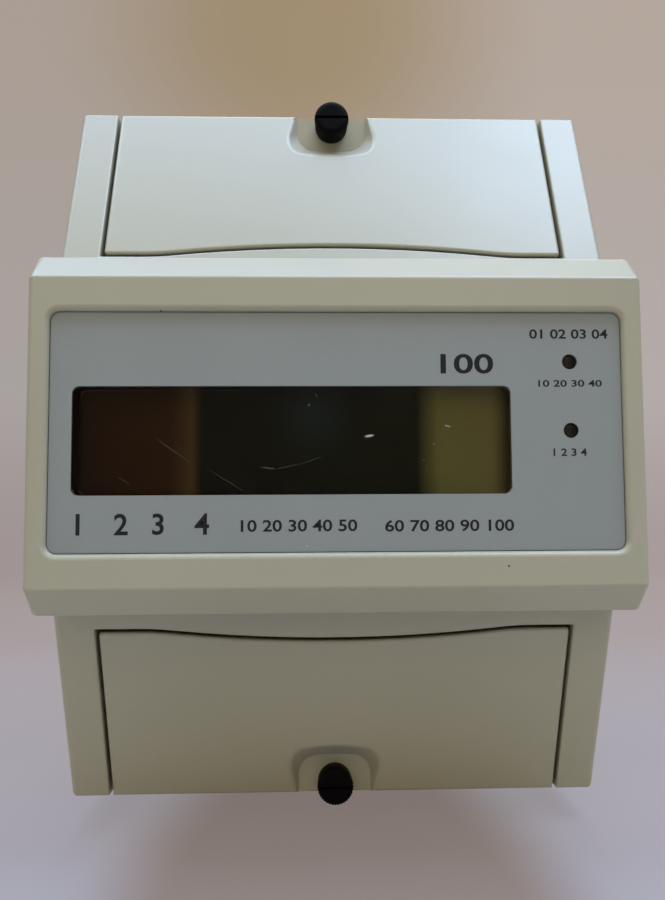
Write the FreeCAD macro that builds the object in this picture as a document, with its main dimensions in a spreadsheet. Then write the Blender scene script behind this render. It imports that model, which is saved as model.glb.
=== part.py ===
import FreeCAD, Part
import math
import os
from types import SimpleNamespace

import Sketcher

# DIN rail energy meter, in millimetres.
# It stands as it is mounted: X runs across the front, Y runs into the cabinet and Z points up.
# The origin is the middle of the face that seats on the rail's front, so the front of the
# meter lies at negative Y. Distances forward of that face are called reach.

SIZES = {
    # Case
    "case_width": 76.0,
    "case_height": 101.6,
    "back_reach": 5.5,
    "base_front": 14.0,
    "end_front": 36.8,
    "seam_front": 46.9,
    "seam_height": 25.6,
    "front_reach": 60.0,
    "face_height": 38.2,
    "bezel_height": 45.0,
    "bevel_depth": 3.5,
    "wall": 2.0,
    "thin_wall": 1.8,
    "edge_radius": 0.8,
    "board_room": 24.2,
    "bezel_room": 20.5,
    "shoulder_room": 45.0,
    "front_wall": 2.0,
    "deck_front": 32.6,
    # Rail seat and its fixed hook
    "rail_width": 35.0,
    "rail_gap": 0.25,
    "rail_sheet": 1.0,
    "hook_gap": 0.3,
    "hook_thickness": 1.6,
    "hook_depth": 2.0,
    "seat_floor": 2.0,
    # Covers
    "flank_width": 5.4,
    "seam_gap": 0.45,
    "seam_bow": 1.5,
    "bow_span": 26.8,
    "bow_blend": 40.0,
    "cover_wall": 2.0,
    "skirt_gap": 0.2,
    "cover_radius": 0.6,
    "rib_border": 2.65,
    "rib_thickness": 1.2,
    "rib_low": 30.0,
    "rib_high": 45.0,
    # Seal screws and their notches
    "seal_height": 49.0,
    "seal_head_radius": 2.5,
    "seal_foot_radius": 2.2,
    "seal_head_length": 4.3,
    "seal_shank_radius": 1.5,
    "seal_shank_length": 9.5,
    "seal_slot_width": 0.8,
    "seal_slot_depth": 1.0,
    "notch_floor": 36.3,
    "notch_width": 10.45,
    "notch_start": 46.0,
    "notch_sag": 0.9,
    "notch_corner": 1.6,
    "notch_draft": 31.0,
    "notch_wall": 1.5,
    "boss_width": 7.2,
    "boss_foot": 20.0,
    # Front plate, window and lamps
    "label_border": 2.7,
    "label_height": 29.5,
    "label_thickness": 1.2,
    "label_recess": 0.8,
    "label_corner": 1.2,
    "lip_radius": 0.7,
    "window_border": 2.7,
    "lamp_strip": 13.9,
    "window_height": 13.4,
    "window_z": -1.1,
    "window_corner": 0.9,
    "window_flange": 1.5,
    "lamp_border": 6.4,
    "lamp_hole_radius": 0.95,
    "lamp_radius": 1.5,
    "lamp_length": 5.3,
    "pulse_lamp_z": 8.6,
    "reverse_lamp_z": 0.0,
    # Clearances
    "fit_gap": 0.1,
    "slide_gap": 0.3,
    "thread_gap": 0.05,
    # Main terminals
    "terminal_spacing": 40.0,
    "terminal_height": 38.0,
    "shaft_wall": 1.5,
    "driver_hole_radius": 3.5,
    "bar_thickness": 2.5,
    "bar_width": 9.0,
    "bar_low": 12.5,
    "bar_end": 43.5,
    "shunt_length": 12.0,
    "shunt_width": 7.0,
    "cage_width": 12.0,
    "cage_length": 9.0,
    "cage_wall": 1.2,
    "cage_foot": 2.0,
    "cage_opening": 8.5,
    "cage_cap": 3.0,
    "cage_travel": 8.0,
    "clamp_screw_radius": 3.0,
    "clamp_head_radius": 4.5,
    "clamp_head_length": 3.5,
    # Pulse output
    "pulse_pitch": 5.08,
    "pulse_height": 40.5,
    "pulse_block_width": 11.2,
    "pulse_block_start": 34.5,
    "pulse_block_end": 46.6,
    "pulse_block_foot": 6.0,
    "pulse_driver_radius": 2.0,
    "pulse_bar_thickness": 0.8,
    "pulse_bar_width": 2.2,
    "pulse_bar_low": 13.0,
    "pulse_cage_width": 3.6,
    "pulse_cage_length": 5.0,
    "pulse_cage_wall": 0.6,
    "pulse_cage_foot": 0.6,
    "pulse_cage_opening": 3.4,
    "pulse_cage_cap": 1.6,
    "pulse_cage_travel": 3.0,
    "pulse_screw_radius": 1.2,
    "pulse_head_radius": 1.7,
    "pulse_head_length": 1.6,
    # Rail latch
    "latch_width": 15.0,
    "latch_rib": 1.5,
    "latch_rib_thickness": 1.9,
    "latch_thickness": 3.9,
    "latch_tail": 55.5,
    "groove_roof": 1.2,
    "roof_wall": 2.0,
    "spring_radius": 1.8,
    "spring_wire": 0.5,
    "spring_turns": 4.5,
    "spring_seat": 39.2,
    "spring_length": 10.0,
    "peg_width": 3.2,
    # Boards and fasteners
    "board_thickness": 1.6,
    "main_board_gap": 6.5,
    "main_board_height": 47.0,
    "main_board_low": 20.0,
    "post_border": 2.3,
    "post_z": 20.0,
    "post_width": 4.8,
    "display_board_gap": 1.0,
    "display_board_height": 35.0,
    "display_board_low": 43.0,
    "stud_border": 3.0,
    "stud_z": 15.0,
    "display_hook_x": 24.0,
    "board_hook_z": 9.0,
    "hook_width": 4.5,
    "hook_nib": 0.9,
    "case_screw_border": 4.6,
    "case_screw_z": 21.2,
    "case_boss_radius": 3.1,
    "case_boss_front": 30.0,
    "case_screw_radius": 1.45,
    "case_head_radius": 2.5,
    "case_head_length": 2.2,
    "case_head_seat": 8.0,
    "case_screw_length": 18.0,
    "slot_width": 1.2,
    "small_slot_width": 0.6,
    # Display
    "glass_overlap": 2.0,
    "glass_height": 18.0,
    "glass_thickness": 2.5,
    "light_margin": 1.0,
    "light_height": 12.0,
    "strip_margin": 2.0,
    "strip_thickness": 1.6,
    "strip_offset": 7.7,
    "light_floor": 1.0,
    "lead_size": 0.5,
    "lead_pitch": 2.54,
    # Parts on the metering board
    "film_capacitor_x": -9.0,
    "film_capacitor_z": 12.0,
    "film_capacitor_width": 18.0,
    "film_capacitor_height": 8.5,
    "film_capacitor_length": 14.5,
    "bulk_capacitor_x": -14.0,
    "bulk_capacitor_z": -10.0,
    "bulk_capacitor_radius": 5.0,
    "bulk_capacitor_length": 16.0,
    "varistor_x": -24.5,
    "varistor_z": 6.0,
    "varistor_radius": 6.0,
    "varistor_thickness": 4.0,
    "chip_x": 8.0,
    "chip_z": -8.0,
    "chip_width": 7.5,
    "chip_height": 10.3,
    "chip_thickness": 2.3,
    "chip_lead_width": 0.4,
    "chip_lead_length": 1.4,
    "chip_lead_pitch": 1.27,
    "coupler_x": 8.0,
    "coupler_z": 17.0,
    "coupler_width": 6.5,
    "coupler_height": 4.6,
    "coupler_thickness": 3.5,
    "crystal_x": 20.0,
    "crystal_z": -8.0,
    "crystal_width": 4.7,
    "crystal_height": 11.0,
    "crystal_thickness": 3.5,
    "header_border": 7.5,
    "header_z": 8.0,
    "header_width": 12.7,
    "header_depth": 2.5,
    "header_length": 8.5,
    "sense_width": 1.0,
}

doc = FreeCAD.newDocument("EnergyMeter")
sheet = doc.addObject("Spreadsheet::Sheet", "Sizes")


class Size:
    """A length that knows its value and the words by which the sheet gives it."""

    def __init__(self, value, text):
        self.value = float(value)
        self.text = text

    def __add__(self, other):
        return join(self, "+", other)

    def __radd__(self, other):
        return join(other, "+", self)

    def __sub__(self, other):
        return join(self, "-", other)

    def __rsub__(self, other):
        return join(other, "-", self)

    def __mul__(self, other):
        return join(self, "*", other)

    def __rmul__(self, other):
        return join(other, "*", self)

    def __truediv__(self, other):
        return join(self, "/", other)

    def __neg__(self):
        return join(0, "-", self)


def length(number):
    """A plain number as a Size."""
    if isinstance(number, Size):
        return number
    return Size(number, "(%r)" % number)


def join(left, sign, right):
    left = length(left)
    right = length(right)
    results = {
        "+": left.value + right.value,
        "-": left.value - right.value,
        "*": left.value * right.value,
    }
    if sign == "/":
        results[sign] = left.value / right.value
    return Size(results[sign], "(%s %s %s)" % (left.text, sign, right.text))


def tangent(angle):
    return Size(math.tan(math.radians(angle.value)), "tan(%s * 1 deg)" % angle.text)


S = SimpleNamespace()
for row, (name, number) in enumerate(SIZES.items(), start=1):
    sheet.set("A%d" % row, name)
    sheet.set("B%d" % row, str(number))
    sheet.setAlias("B%d" % row, name)
    setattr(S, name, Size(number, "Sizes." + name))
doc.recompute()

UPPER = 1
LOWER = -1
ENDS = {"upper": UPPER, "lower": LOWER}
nodes = []


def bind(thing, setting, size):
    """Ties one setting of an object to the sheet."""
    thing.setExpression(setting, length(size).text)


def keep(thing, name):
    """Names a finished piece and lists it for writing."""
    thing.Label = name
    nodes.append(thing)
    return thing


# Outlines. A loop is a list of corners (a, b). A corner (a, b, radius, turn) starts an arc
# that runs to the next corner, turning left for 1 and right for -1. A loop of one corner
# (a, b, radius) is a circle.


def rectangle(a_low, a_high, b_low, b_high):
    return [(a_low, b_low), (a_high, b_low), (a_high, b_high), (a_low, b_high)]


def rounded(a_mid, b_mid, width, height, radius):
    """A rectangle about its middle, with round corners."""
    left = a_mid - width / 2
    right = a_mid + width / 2
    low = b_mid - height / 2
    high = b_mid + height / 2
    return [
        (left + radius, low),
        (right - radius, low, radius, 1),
        (right, low + radius),
        (right, high - radius, radius, 1),
        (right - radius, high),
        (left + radius, high, radius, 1),
        (left, high - radius),
        (left, low + radius, radius, 1),
    ]


def side_view(corners):
    """Turns corners (reach, height) into a loop on the plane across the meter."""
    return [(-reach, height) for reach, height in corners]


def arc_through(start, end, radius, turn):
    """The arc of under half a circle from start to end, as a full-circle part running left."""
    chord = end - start
    middle = (start + end) / 2
    left = FreeCAD.Vector(-chord.y, chord.x, 0).normalize()
    centre = middle + left * turn * math.sqrt(radius ** 2 - chord.Length ** 2 / 4)
    circle = Part.Circle(centre, FreeCAD.Vector(0, 0, 1), radius)
    first, last = (start, end) if turn > 0 else (end, start)
    return Part.ArcOfCircle(circle, circle.parameter(first), circle.parameter(last))


def place_point(drawing, geometry, end, a, b):
    for kind, size in (("DistanceX", a), ("DistanceY", b)):
        number = drawing.addConstraint(
            Sketcher.Constraint(kind, -1, 1, geometry, end, length(size).value))
        bind(drawing, "Constraints[%d]" % number, size)


def draw_circle(drawing, a, b, radius):
    circle = Part.Circle(
        FreeCAD.Vector(length(a).value, length(b).value, 0), FreeCAD.Vector(0, 0, 1), radius.value)
    geometry = drawing.addGeometry(circle)
    place_point(drawing, geometry, 3, a, b)
    number = drawing.addConstraint(Sketcher.Constraint("Radius", geometry, radius.value))
    bind(drawing, "Constraints[%d]" % number, radius)


def draw_loop(drawing, loop):
    points = [FreeCAD.Vector(length(c[0]).value, length(c[1]).value, 0) for c in loop]
    pieces = []
    for index, corner in enumerate(loop):
        start = points[index]
        end = points[(index + 1) % len(loop)]
        turn = 1
        if len(corner) == 4:
            turn = corner[3]
            geometry = drawing.addGeometry(arc_through(start, end, corner[2].value, turn))
            number = drawing.addConstraint(
                Sketcher.Constraint("Radius", geometry, corner[2].value))
            bind(drawing, "Constraints[%d]" % number, corner[2])
        else:
            geometry = drawing.addGeometry(Part.LineSegment(start, end))
        first, last = (1, 2) if turn > 0 else (2, 1)
        pieces.append((geometry, first, last))
    for index, (geometry, first, last) in enumerate(pieces):
        following, following_first, following_last = pieces[(index + 1) % len(pieces)]
        drawing.addConstraint(
            Sketcher.Constraint("Coincident", geometry, last, following, following_first))
        place_point(drawing, geometry, first, loop[index][0], loop[index][1])


def sketch(body, name, plane, loops, level):
    """A drawing on one of the body's own planes, moved along its normal to a level."""
    drawing = body.newObject("Sketcher::SketchObject", name)
    support = [f for f in body.Origin.OriginFeatures if f.Role == plane][0]
    drawing.AttachmentSupport = [(support, "")]
    drawing.MapMode = "FlatFace"
    bind(drawing, "AttachmentOffset.Base.z", level)
    for loop in loops:
        if len(loop) == 1:
            draw_circle(drawing, *loop[0])
        else:
            draw_loop(drawing, loop)
    return drawing


# The front plane's normal points forward, so its levels are reaches. The side plane's
# normal points to the right and the plan plane's upwards.
FRONT = "XZ_Plane"
SIDE = "YZ_Plane"
PLAN = "XY_Plane"


def add_block(body, name, plane, loops, low, high):
    """Adds material over the loops from a low level to a high one."""
    pad = body.newObject("PartDesign::Pad", name)
    pad.Profile = sketch(body, name + "Sketch", plane, loops, low)
    bind(pad, "Length", high - low)
    pad.Refine = False
    return pad


def cut_block(body, name, plane, loops, low, high):
    """Takes material away over the loops from a high level down to a low one."""
    pocket = body.newObject("PartDesign::Pocket", name)
    pocket.Profile = sketch(body, name + "Sketch", plane, loops, high)
    bind(pocket, "Length", high - low)
    pocket.Refine = False
    return pocket


def round_edges(body, name, radius, wanted):
    """Rounds those edges of the body that the test called wanted picks."""
    doc.recompute()
    tip = body.Tip
    picked = [
        "Edge%d" % number
        for number, edge in enumerate(tip.Shape.Edges, start=1)
        if wanted(edge)
    ]
    fillet = body.newObject("PartDesign::Fillet", name)
    fillet.Base = (tip, picked)
    bind(fillet, "Radius", radius)
    fillet.Refine = False
    return fillet


def lies_at(edge, axis, place):
    """True where the whole edge lies at one place along X, Y or Z."""
    low = getattr(edge.BoundBox, axis + "Min")
    high = getattr(edge.BoundBox, axis + "Max")
    return abs(low - place) < 0.001 and abs(high - place) < 0.001


def new_body(name):
    return keep(doc.addObject("PartDesign::Body", name.title().replace("_", "")), name)


# Plain solids of the small parts. Each is given by its lowest and highest sizes.


def box(name, x_low, x_high, reach_low, reach_high, z_low, z_high):
    solid = doc.addObject("Part::Box", name)
    bind(solid, "Length", x_high - x_low)
    bind(solid, "Width", reach_high - reach_low)
    bind(solid, "Height", z_high - z_low)
    bind(solid, "Placement.Base.x", x_low)
    bind(solid, "Placement.Base.y", -reach_high)
    bind(solid, "Placement.Base.z", z_low)
    return solid


FORWARD = FreeCAD.Rotation(FreeCAD.Vector(1, 0, 0), 90)


def stand(solid, x, z, reach):
    """Stands a round solid on its foot, pointing forward."""
    solid.Placement = FreeCAD.Placement(FreeCAD.Vector(0, 0, 0), FORWARD)
    bind(solid, "Placement.Base.x", x)
    bind(solid, "Placement.Base.y", -reach)
    bind(solid, "Placement.Base.z", z)
    return solid


def rod(name, x, z, reach_low, reach_high, radius):
    solid = doc.addObject("Part::Cylinder", name)
    bind(solid, "Radius", radius)
    bind(solid, "Height", reach_high - reach_low)
    return stand(solid, x, z, reach_low)


def cone(name, x, z, reach_low, reach_high, radius_low, radius_high):
    solid = doc.addObject("Part::Cone", name)
    bind(solid, "Radius1", radius_low)
    bind(solid, "Radius2", radius_high)
    bind(solid, "Height", reach_high - reach_low)
    return stand(solid, x, z, reach_low)


def fuse(name, solids):
    whole = doc.addObject("Part::MultiFuse", name)
    whole.Shapes = solids
    whole.Refine = True
    return whole


def cut(name, solid, tools):
    rest = doc.addObject("Part::Cut", name)
    rest.Base = solid
    rest.Tool = tools[0] if len(tools) == 1 else fuse(name + "Tools", tools)
    rest.Refine = True
    return rest


def group(name, solids):
    """Keeps separate solids together in one node."""
    whole = doc.addObject("Part::Compound", name)
    whole.Links = solids
    return keep(whole, name)


# Levels and places that several pieces share

half_width = S.case_width / 2
half_height = S.case_height / 2
face_half = S.face_height / 2
bezel_half = S.bezel_height / 2
bevel_front = S.front_reach - S.bevel_depth
inner_x = half_width - S.wall
chamber_start = S.board_room + S.thin_wall
chamber_end = half_height - S.wall
frame_x = half_width - S.flank_width
cover_x = frame_x - S.seam_gap
deck_low = S.deck_front - S.thin_wall
terminal_x = S.terminal_spacing / 2
rib_x = cover_x - S.rib_border
case_screw_x = half_width - S.case_screw_border
label_width = S.case_width - 2 * S.label_border
window_width = label_width - S.window_border - S.lamp_strip
window_x = (S.window_border - S.lamp_strip) / 2
lamp_x = label_width / 2 - S.lamp_border
glass_width = window_width + 2 * S.glass_overlap
light_width = window_width - 2 * S.light_margin
strip_width = window_width - 2 * S.strip_margin
display_board_width = 2 * (inner_x - S.display_board_gap)
stud_x = display_board_width / 2 - S.stud_border
main_board_width = 2 * (inner_x - S.main_board_gap)
post_x = main_board_width / 2 - S.post_border
header_x = main_board_width / 2 - S.header_border
shaft_half = S.cage_width / 2 + S.slide_gap
bar_high = S.bar_low + S.bar_thickness
back_floor = S.wall - S.back_reach
plate_seat = S.front_reach - S.label_recess - S.label_thickness
front_wall_low = plate_seat - S.front_wall
window_seat = front_wall_low + S.fit_gap
pulse_x = S.pulse_pitch / 2
pulse_shaft_half = S.pulse_cage_width / 2 + S.fit_gap
rail_half = S.rail_width / 2 + S.rail_gap
outside = length(1.0)


def slope(height):
    """Reach of the sloping front at a height above or below the middle."""
    fall = (S.seam_front - S.end_front) / (half_height - S.seam_height)
    return S.end_front + fall * (half_height - height)


def seam(end, half_span, shift, far):
    """Plan of the space outside the bowed seam: a flat run, a bow between two blends, a flat run."""
    bow_radius = (S.bow_span * S.bow_span + S.seam_bow * S.seam_bow) / (2 * S.seam_bow) - S.bow_blend
    share = bow_radius / (bow_radius + S.bow_blend)
    start = S.seam_height + shift
    meet_x = S.bow_span * share
    bow_centre = start + S.seam_bow - bow_radius
    meet_z = bow_centre + share * (bow_radius + S.bow_blend - S.seam_bow)
    return [
        (-half_span, end * start),
        (-S.bow_span, end * start, S.bow_blend, end),
        (-meet_x, end * meet_z, bow_radius, -end),
        (meet_x, end * meet_z, S.bow_blend, end),
        (S.bow_span, end * start),
        (half_span, end * start),
        (half_span, end * far),
        (-half_span, end * far),
    ]


def chambers(end, far):
    """Plan of the hollows at one end: a shaft for each clamp and the rooms beside the shafts."""
    shaft_in = terminal_x - shaft_half
    shaft_out = terminal_x + shaft_half
    rooms = [
        (-inner_x, -shaft_out - S.shaft_wall),
        (-shaft_out, -shaft_in),
        (-shaft_in + S.shaft_wall, shaft_in - S.shaft_wall),
        (shaft_in, shaft_out),
        (shaft_out + S.shaft_wall, inner_x),
    ]
    return [rectangle(low, high, end * chamber_start, end * far) for low, high in rooms]


def pair(x, z, radius):
    """Two circles in opposite quarters of the front view."""
    return [[(-x, z, radius)], [(x, -z, radius)]]


def posts(x, z, width):
    """Four square posts, one in each quarter of the front view."""
    half = width / 2
    return [
        rectangle(side * x - half, side * x + half, end * z - half, end * z + half)
        for side in (-1, 1)
        for end in (UPPER, LOWER)
    ]


def hooks(along, start, stop):
    """Plan of two hooks over each long edge of a board, given by their place along the edge."""
    half = S.hook_width / 2
    return [
        rectangle(side * along - half, side * along + half, end * start, end * stop)
        for side in (-1, 1)
        for end in (UPPER, LOWER)
    ]


def turned(loops):
    """The same loops with their two directions exchanged."""
    return [[(b, a) for a, b in loop] for loop in loops]


def corner_blocks():
    """The blocks in the four corners of the board room that the case screws pass through."""
    near_x = case_screw_x - S.case_boss_radius
    near_z = S.case_screw_z - S.case_boss_radius
    return [
        rectangle(side * near_x, side * inner_x, end * near_z, end * S.board_room)
        for side in (-1, 1)
        for end in (UPPER, LOWER)
    ]


# Front housing: one moulding with the bezel block in front, the frame around both covers,
# the decks over the terminals and the bosses for boards and screws.

housing = new_body("front_housing")
upper_half = [
    (S.front_reach, face_half),
    (bevel_front, bezel_half),
    (slope(bezel_half), bezel_half),
    (S.end_front, half_height),
    (S.base_front, half_height),
]
lower_half = [(reach, -height) for reach, height in reversed(upper_half)]
add_block(housing, "Silhouette", SIDE, [side_view(lower_half + upper_half)], -half_width, half_width)


def is_case_side(edge):
    """Edges of the outer profile on the two sides of the housing."""
    on_side = lies_at(edge, "X", half_width.value) or lies_at(edge, "X", -half_width.value)
    return on_side and not lies_at(edge, "Y", -S.base_front.value)


round_edges(housing, "SideRounding", S.edge_radius, is_case_side)
cut_block(
    housing, "LabelRecess", FRONT,
    [rounded(
        length(0), length(0), label_width + 2 * S.fit_gap, S.label_height + 2 * S.fit_gap,
        S.label_corner + S.fit_gap)],
    plate_seat, S.front_reach)


def is_recess_lip(edge):
    inside = abs(edge.BoundBox.Center.x) < label_width.value / 2 + 1
    low = abs(edge.BoundBox.Center.z) < face_half.value - 1
    return lies_at(edge, "Y", -S.front_reach.value) and inside and low


round_edges(housing, "RecessLip", S.lip_radius, is_recess_lip)
cut_block(
    housing, "BoardRoom", FRONT,
    [rectangle(-inner_x, inner_x, -S.board_room, S.board_room)], S.base_front, S.shoulder_room)
cut_block(
    housing, "BezelRoom", FRONT,
    [rectangle(-inner_x, inner_x, -S.bezel_room, S.bezel_room)], S.base_front, front_wall_low)

skirt_room = S.thin_wall + S.skirt_gap
end_wall_out = half_height - skirt_room
end_wall_in = end_wall_out - S.thin_wall
hollow_inner = frame_x + S.shaft_wall
boss_front = S.notch_floor - S.notch_wall
boss_half = S.boss_width / 2
for word, end in ENDS.items():
    tag = word.title()
    cut_block(housing, tag + "Chambers", FRONT, chambers(end, end_wall_in), S.base_front, deck_low)
    cut_block(
        housing, tag + "CoverRecess", FRONT,
        [seam(end, frame_x, length(0), half_height + outside)],
        S.deck_front, S.front_reach)
    cut_block(
        housing, tag + "SkirtStep", FRONT,
        [rectangle(-frame_x, frame_x, end * end_wall_out, end * (half_height + outside))],
        S.base_front, S.deck_front)
    flank_hollow = side_view([
        (deck_low, end * chamber_start),
        (slope(chamber_start) - S.wall, end * chamber_start),
        (slope(end_wall_in) - S.wall, end * end_wall_in),
        (deck_low, end * end_wall_in),
    ])
    cut_block(housing, tag + "RightFlank", SIDE, [flank_hollow], hollow_inner, inner_x)
    cut_block(housing, tag + "LeftFlank", SIDE, [flank_hollow], -inner_x, -hollow_inner)
    add_block(
        housing, tag + "SealBoss", FRONT,
        [rectangle(-boss_half, boss_half, end * end_wall_in, end * half_height)],
        S.boss_foot, boss_front)
    cut_block(
        housing, tag + "SealHole", FRONT,
        [[(length(0), end * S.seal_height, S.seal_shank_radius + S.thread_gap)]],
        boss_front - S.seal_shank_length, boss_front)
    cut_block(
        housing, tag + "DriverHoles", FRONT,
        [[(side * terminal_x, end * S.terminal_height, S.driver_hole_radius)] for side in (-1, 1)],
        deck_low, S.deck_front)
    cut_block(
        housing, tag + "BarNotches", FRONT,
        [
            rectangle(
                side * terminal_x - S.bar_width / 2 - S.fit_gap,
                side * terminal_x + S.bar_width / 2 + S.fit_gap,
                end * S.board_room, end * chamber_start)
            for side in (-1, 1)
        ],
        S.base_front, bar_high + S.fit_gap)

cut_block(
    housing, "PulseDriverHoles", FRONT,
    [[(side * pulse_x, S.pulse_height, S.pulse_driver_radius)] for side in (-1, 1)],
    deck_low, S.deck_front)
pulse_slot_half = pulse_x + S.pulse_bar_width / 2 + S.slide_gap
cut_block(
    housing, "PulseNotch", FRONT,
    [rectangle(-pulse_slot_half, pulse_slot_half, S.board_room, chamber_start)],
    S.base_front, bar_high + S.fit_gap)

flange_width = window_width + 2 * S.window_flange
flange_height = S.window_height + 2 * S.window_flange
cut_block(
    housing, "WindowOpening", FRONT,
    [rounded(
        window_x, S.window_z, flange_width + 2 * S.fit_gap, flange_height + 2 * S.fit_gap,
        S.window_corner)],
    front_wall_low, plate_seat)
lamp_room = S.lamp_radius + S.fit_gap
cut_block(
    housing, "LampOpening", FRONT,
    [rectangle(
        lamp_x - lamp_room, lamp_x + lamp_room,
        S.reverse_lamp_z - lamp_room, S.pulse_lamp_z + lamp_room)],
    front_wall_low, plate_seat)

display_board_high = S.display_board_low + S.board_thickness
add_block(
    housing, "DisplayStuds", FRONT, posts(stud_x, S.stud_z, S.post_width),
    display_board_high, front_wall_low)
display_edge = S.display_board_height / 2
display_stem = display_edge + S.fit_gap
hook_low = S.display_board_low - S.fit_gap - S.hook_nib
add_block(
    housing, "DisplayHooks", FRONT,
    hooks(S.display_hook_x, display_stem, display_stem + S.hook_thickness),
    hook_low, front_wall_low)
add_block(
    housing, "DisplayHookNibs", FRONT,
    hooks(S.display_hook_x, display_edge - S.hook_nib, display_stem),
    hook_low, S.display_board_low - S.fit_gap)
add_block(housing, "CaseBosses", FRONT, corner_blocks(), S.base_front, S.case_boss_front)
cut_block(
    housing, "CaseBossHoles", FRONT,
    pair(case_screw_x, S.case_screw_z, S.case_screw_radius + S.thread_gap),
    S.base_front, S.case_head_seat + S.case_screw_length + outside)

# Rear base: the tray with the rail channel, the fixed hook over the rail's upper edge, the
# latch groove below, the lower parts of the clamp shafts and the wire entries in its ends.

base = new_body("rear_base")
hook_near = S.rail_sheet + S.hook_gap
hook_far = hook_near + S.hook_thickness
base_profile = [
    (S.base_front, -half_height),
    (-S.back_reach, -half_height),
    (-S.back_reach, -rail_half),
    (length(0), -rail_half),
    (length(0), rail_half),
    (-hook_near, rail_half),
    (-hook_near, rail_half - S.hook_depth),
    (-hook_far, rail_half - S.hook_depth),
    (-hook_far, rail_half),
    (-S.back_reach, rail_half),
    (-S.back_reach, half_height),
    (S.base_front, half_height),
]
add_block(base, "BaseProfile", SIDE, [side_view(base_profile)], -half_width, half_width)


def is_base_corner(edge):
    """Outer edges of the base that a hand meets: its side edges but not the parting line."""
    on_side = lies_at(edge, "X", half_width.value) or lies_at(edge, "X", -half_width.value)
    at_end = abs(edge.BoundBox.Center.z) > rail_half.value + 1
    return on_side and at_end and not lies_at(edge, "Y", -S.base_front.value)


round_edges(base, "SideRounding", S.edge_radius, is_base_corner)
cut_block(
    base, "BoardRoom", FRONT,
    [rectangle(-inner_x, inner_x, -S.board_room, S.board_room)], S.seat_floor, S.base_front)
for word, end in ENDS.items():
    tag = word.title()
    cut_block(base, tag + "Chambers", FRONT, chambers(end, chamber_end), back_floor, S.base_front)
    cut_block(
        base, tag + "Trough", FRONT,
        [rectangle(-inner_x, inner_x, end * (rail_half + S.wall), end * S.board_room)],
        back_floor, S.seat_floor)

roof = S.roof_wall - S.groove_roof
groove_half = S.latch_width / 2 + S.slide_gap
groove_wide = groove_half + S.latch_rib
add_block(
    base, "GrooveRoof", FRONT,
    [rectangle(
        -groove_wide - S.shaft_wall, groove_wide + S.shaft_wall,
        -chamber_end, -rail_half - S.wall)],
    back_floor, roof)
latch_near = S.groove_roof + S.fit_gap
rib_far = latch_near + S.latch_rib_thickness
groove_step = rib_far + S.fit_gap
far_back = S.back_reach + outside
groove_plan = [
    (-groove_half, far_back),
    (groove_half, far_back),
    (groove_half, groove_step),
    (groove_wide, groove_step),
    (groove_wide, S.groove_roof),
    (-groove_wide, S.groove_roof),
    (-groove_wide, groove_step),
    (-groove_half, groove_step),
]
cut_block(base, "LatchGroove", PLAN, [groove_plan], -half_height - outside, -rail_half)
peg_half = S.peg_width / 2
peg_depth = S.groove_roof + S.latch_thickness - S.hook_gap
add_block(
    base, "SpringPeg", PLAN,
    [rectangle(-peg_half, peg_half, S.groove_roof - S.roof_wall / 2, peg_depth)],
    -S.spring_seat - S.thin_wall, -S.spring_seat)

add_block(
    base, "BoardPosts", FRONT, posts(post_x, S.post_z, S.post_width),
    back_floor, S.main_board_low)
main_board_high = S.main_board_low + S.board_thickness
main_edge = main_board_width / 2
main_stem = main_edge + S.fit_gap
nib_low = main_board_high + S.fit_gap
add_block(
    base, "BoardHooks", FRONT,
    turned(hooks(S.board_hook_z, main_stem, main_stem + S.hook_thickness)),
    S.seat_floor, nib_low + S.hook_nib)
add_block(
    base, "BoardHookNibs", FRONT,
    turned(hooks(S.board_hook_z, main_edge - S.hook_nib, main_stem)),
    nib_low, nib_low + S.hook_nib)
add_block(base, "CasePillars", FRONT, corner_blocks(), back_floor, S.base_front)
cut_block(
    base, "CaseScrewHoles", FRONT,
    pair(case_screw_x, S.case_screw_z, S.case_screw_radius + S.slide_gap),
    -S.back_reach, S.base_front)
cut_block(
    base, "CaseScrewSinks", FRONT,
    pair(case_screw_x, S.case_screw_z, S.case_head_radius + S.fit_gap),
    -S.back_reach, S.case_head_seat)
for word, end in ENDS.items():
    tag = word.title()
    cut_block(
        base, tag + "BarSlots", FRONT,
        [
            rectangle(
                side * terminal_x - S.bar_width / 2 - S.fit_gap,
                side * terminal_x + S.bar_width / 2 + S.fit_gap,
                end * S.board_room, end * chamber_start)
            for side in (-1, 1)
        ],
        S.bar_low, S.base_front)
cut_block(
    base, "PulseSlot", FRONT,
    [rectangle(-pulse_slot_half, pulse_slot_half, S.board_room, chamber_start)],
    S.bar_low, S.base_front)
pulse_block_half = S.pulse_block_width / 2
add_block(
    base, "PulseSeat", FRONT,
    [rectangle(-pulse_block_half, pulse_block_half, S.pulse_block_start, S.pulse_block_end)],
    back_floor, S.pulse_block_foot)

entry_half = S.cage_width / 2 - S.cage_wall
entry_low = S.bar_low - S.cage_opening
entry_mid = (S.bar_low + entry_low) / 2
main_entries = [
    rounded(side * terminal_x, -entry_mid, 2 * entry_half, S.cage_opening, S.window_corner)
    for side in (-1, 1)
]
pulse_entry = S.pulse_cage_opening
pulse_entry_mid = S.pulse_bar_low - pulse_entry / 2
pulse_entries = [
    rectangle(
        side * pulse_x - pulse_entry / 2, side * pulse_x + pulse_entry / 2,
        -pulse_entry_mid - pulse_entry / 2, -pulse_entry_mid + pulse_entry / 2)
    for side in (-1, 1)
]
cut_block(
    base, "UpperEntries", PLAN, main_entries + pulse_entries, chamber_end, half_height)
cut_block(base, "LowerEntries", PLAN, main_entries, -half_height, -chamber_end)

# Terminal covers: a sloping plate that fills the frame, a skirt down the end of the case,
# ribs that stand on the deck, and a drafted notch with the hole for the seal screw.


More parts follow.
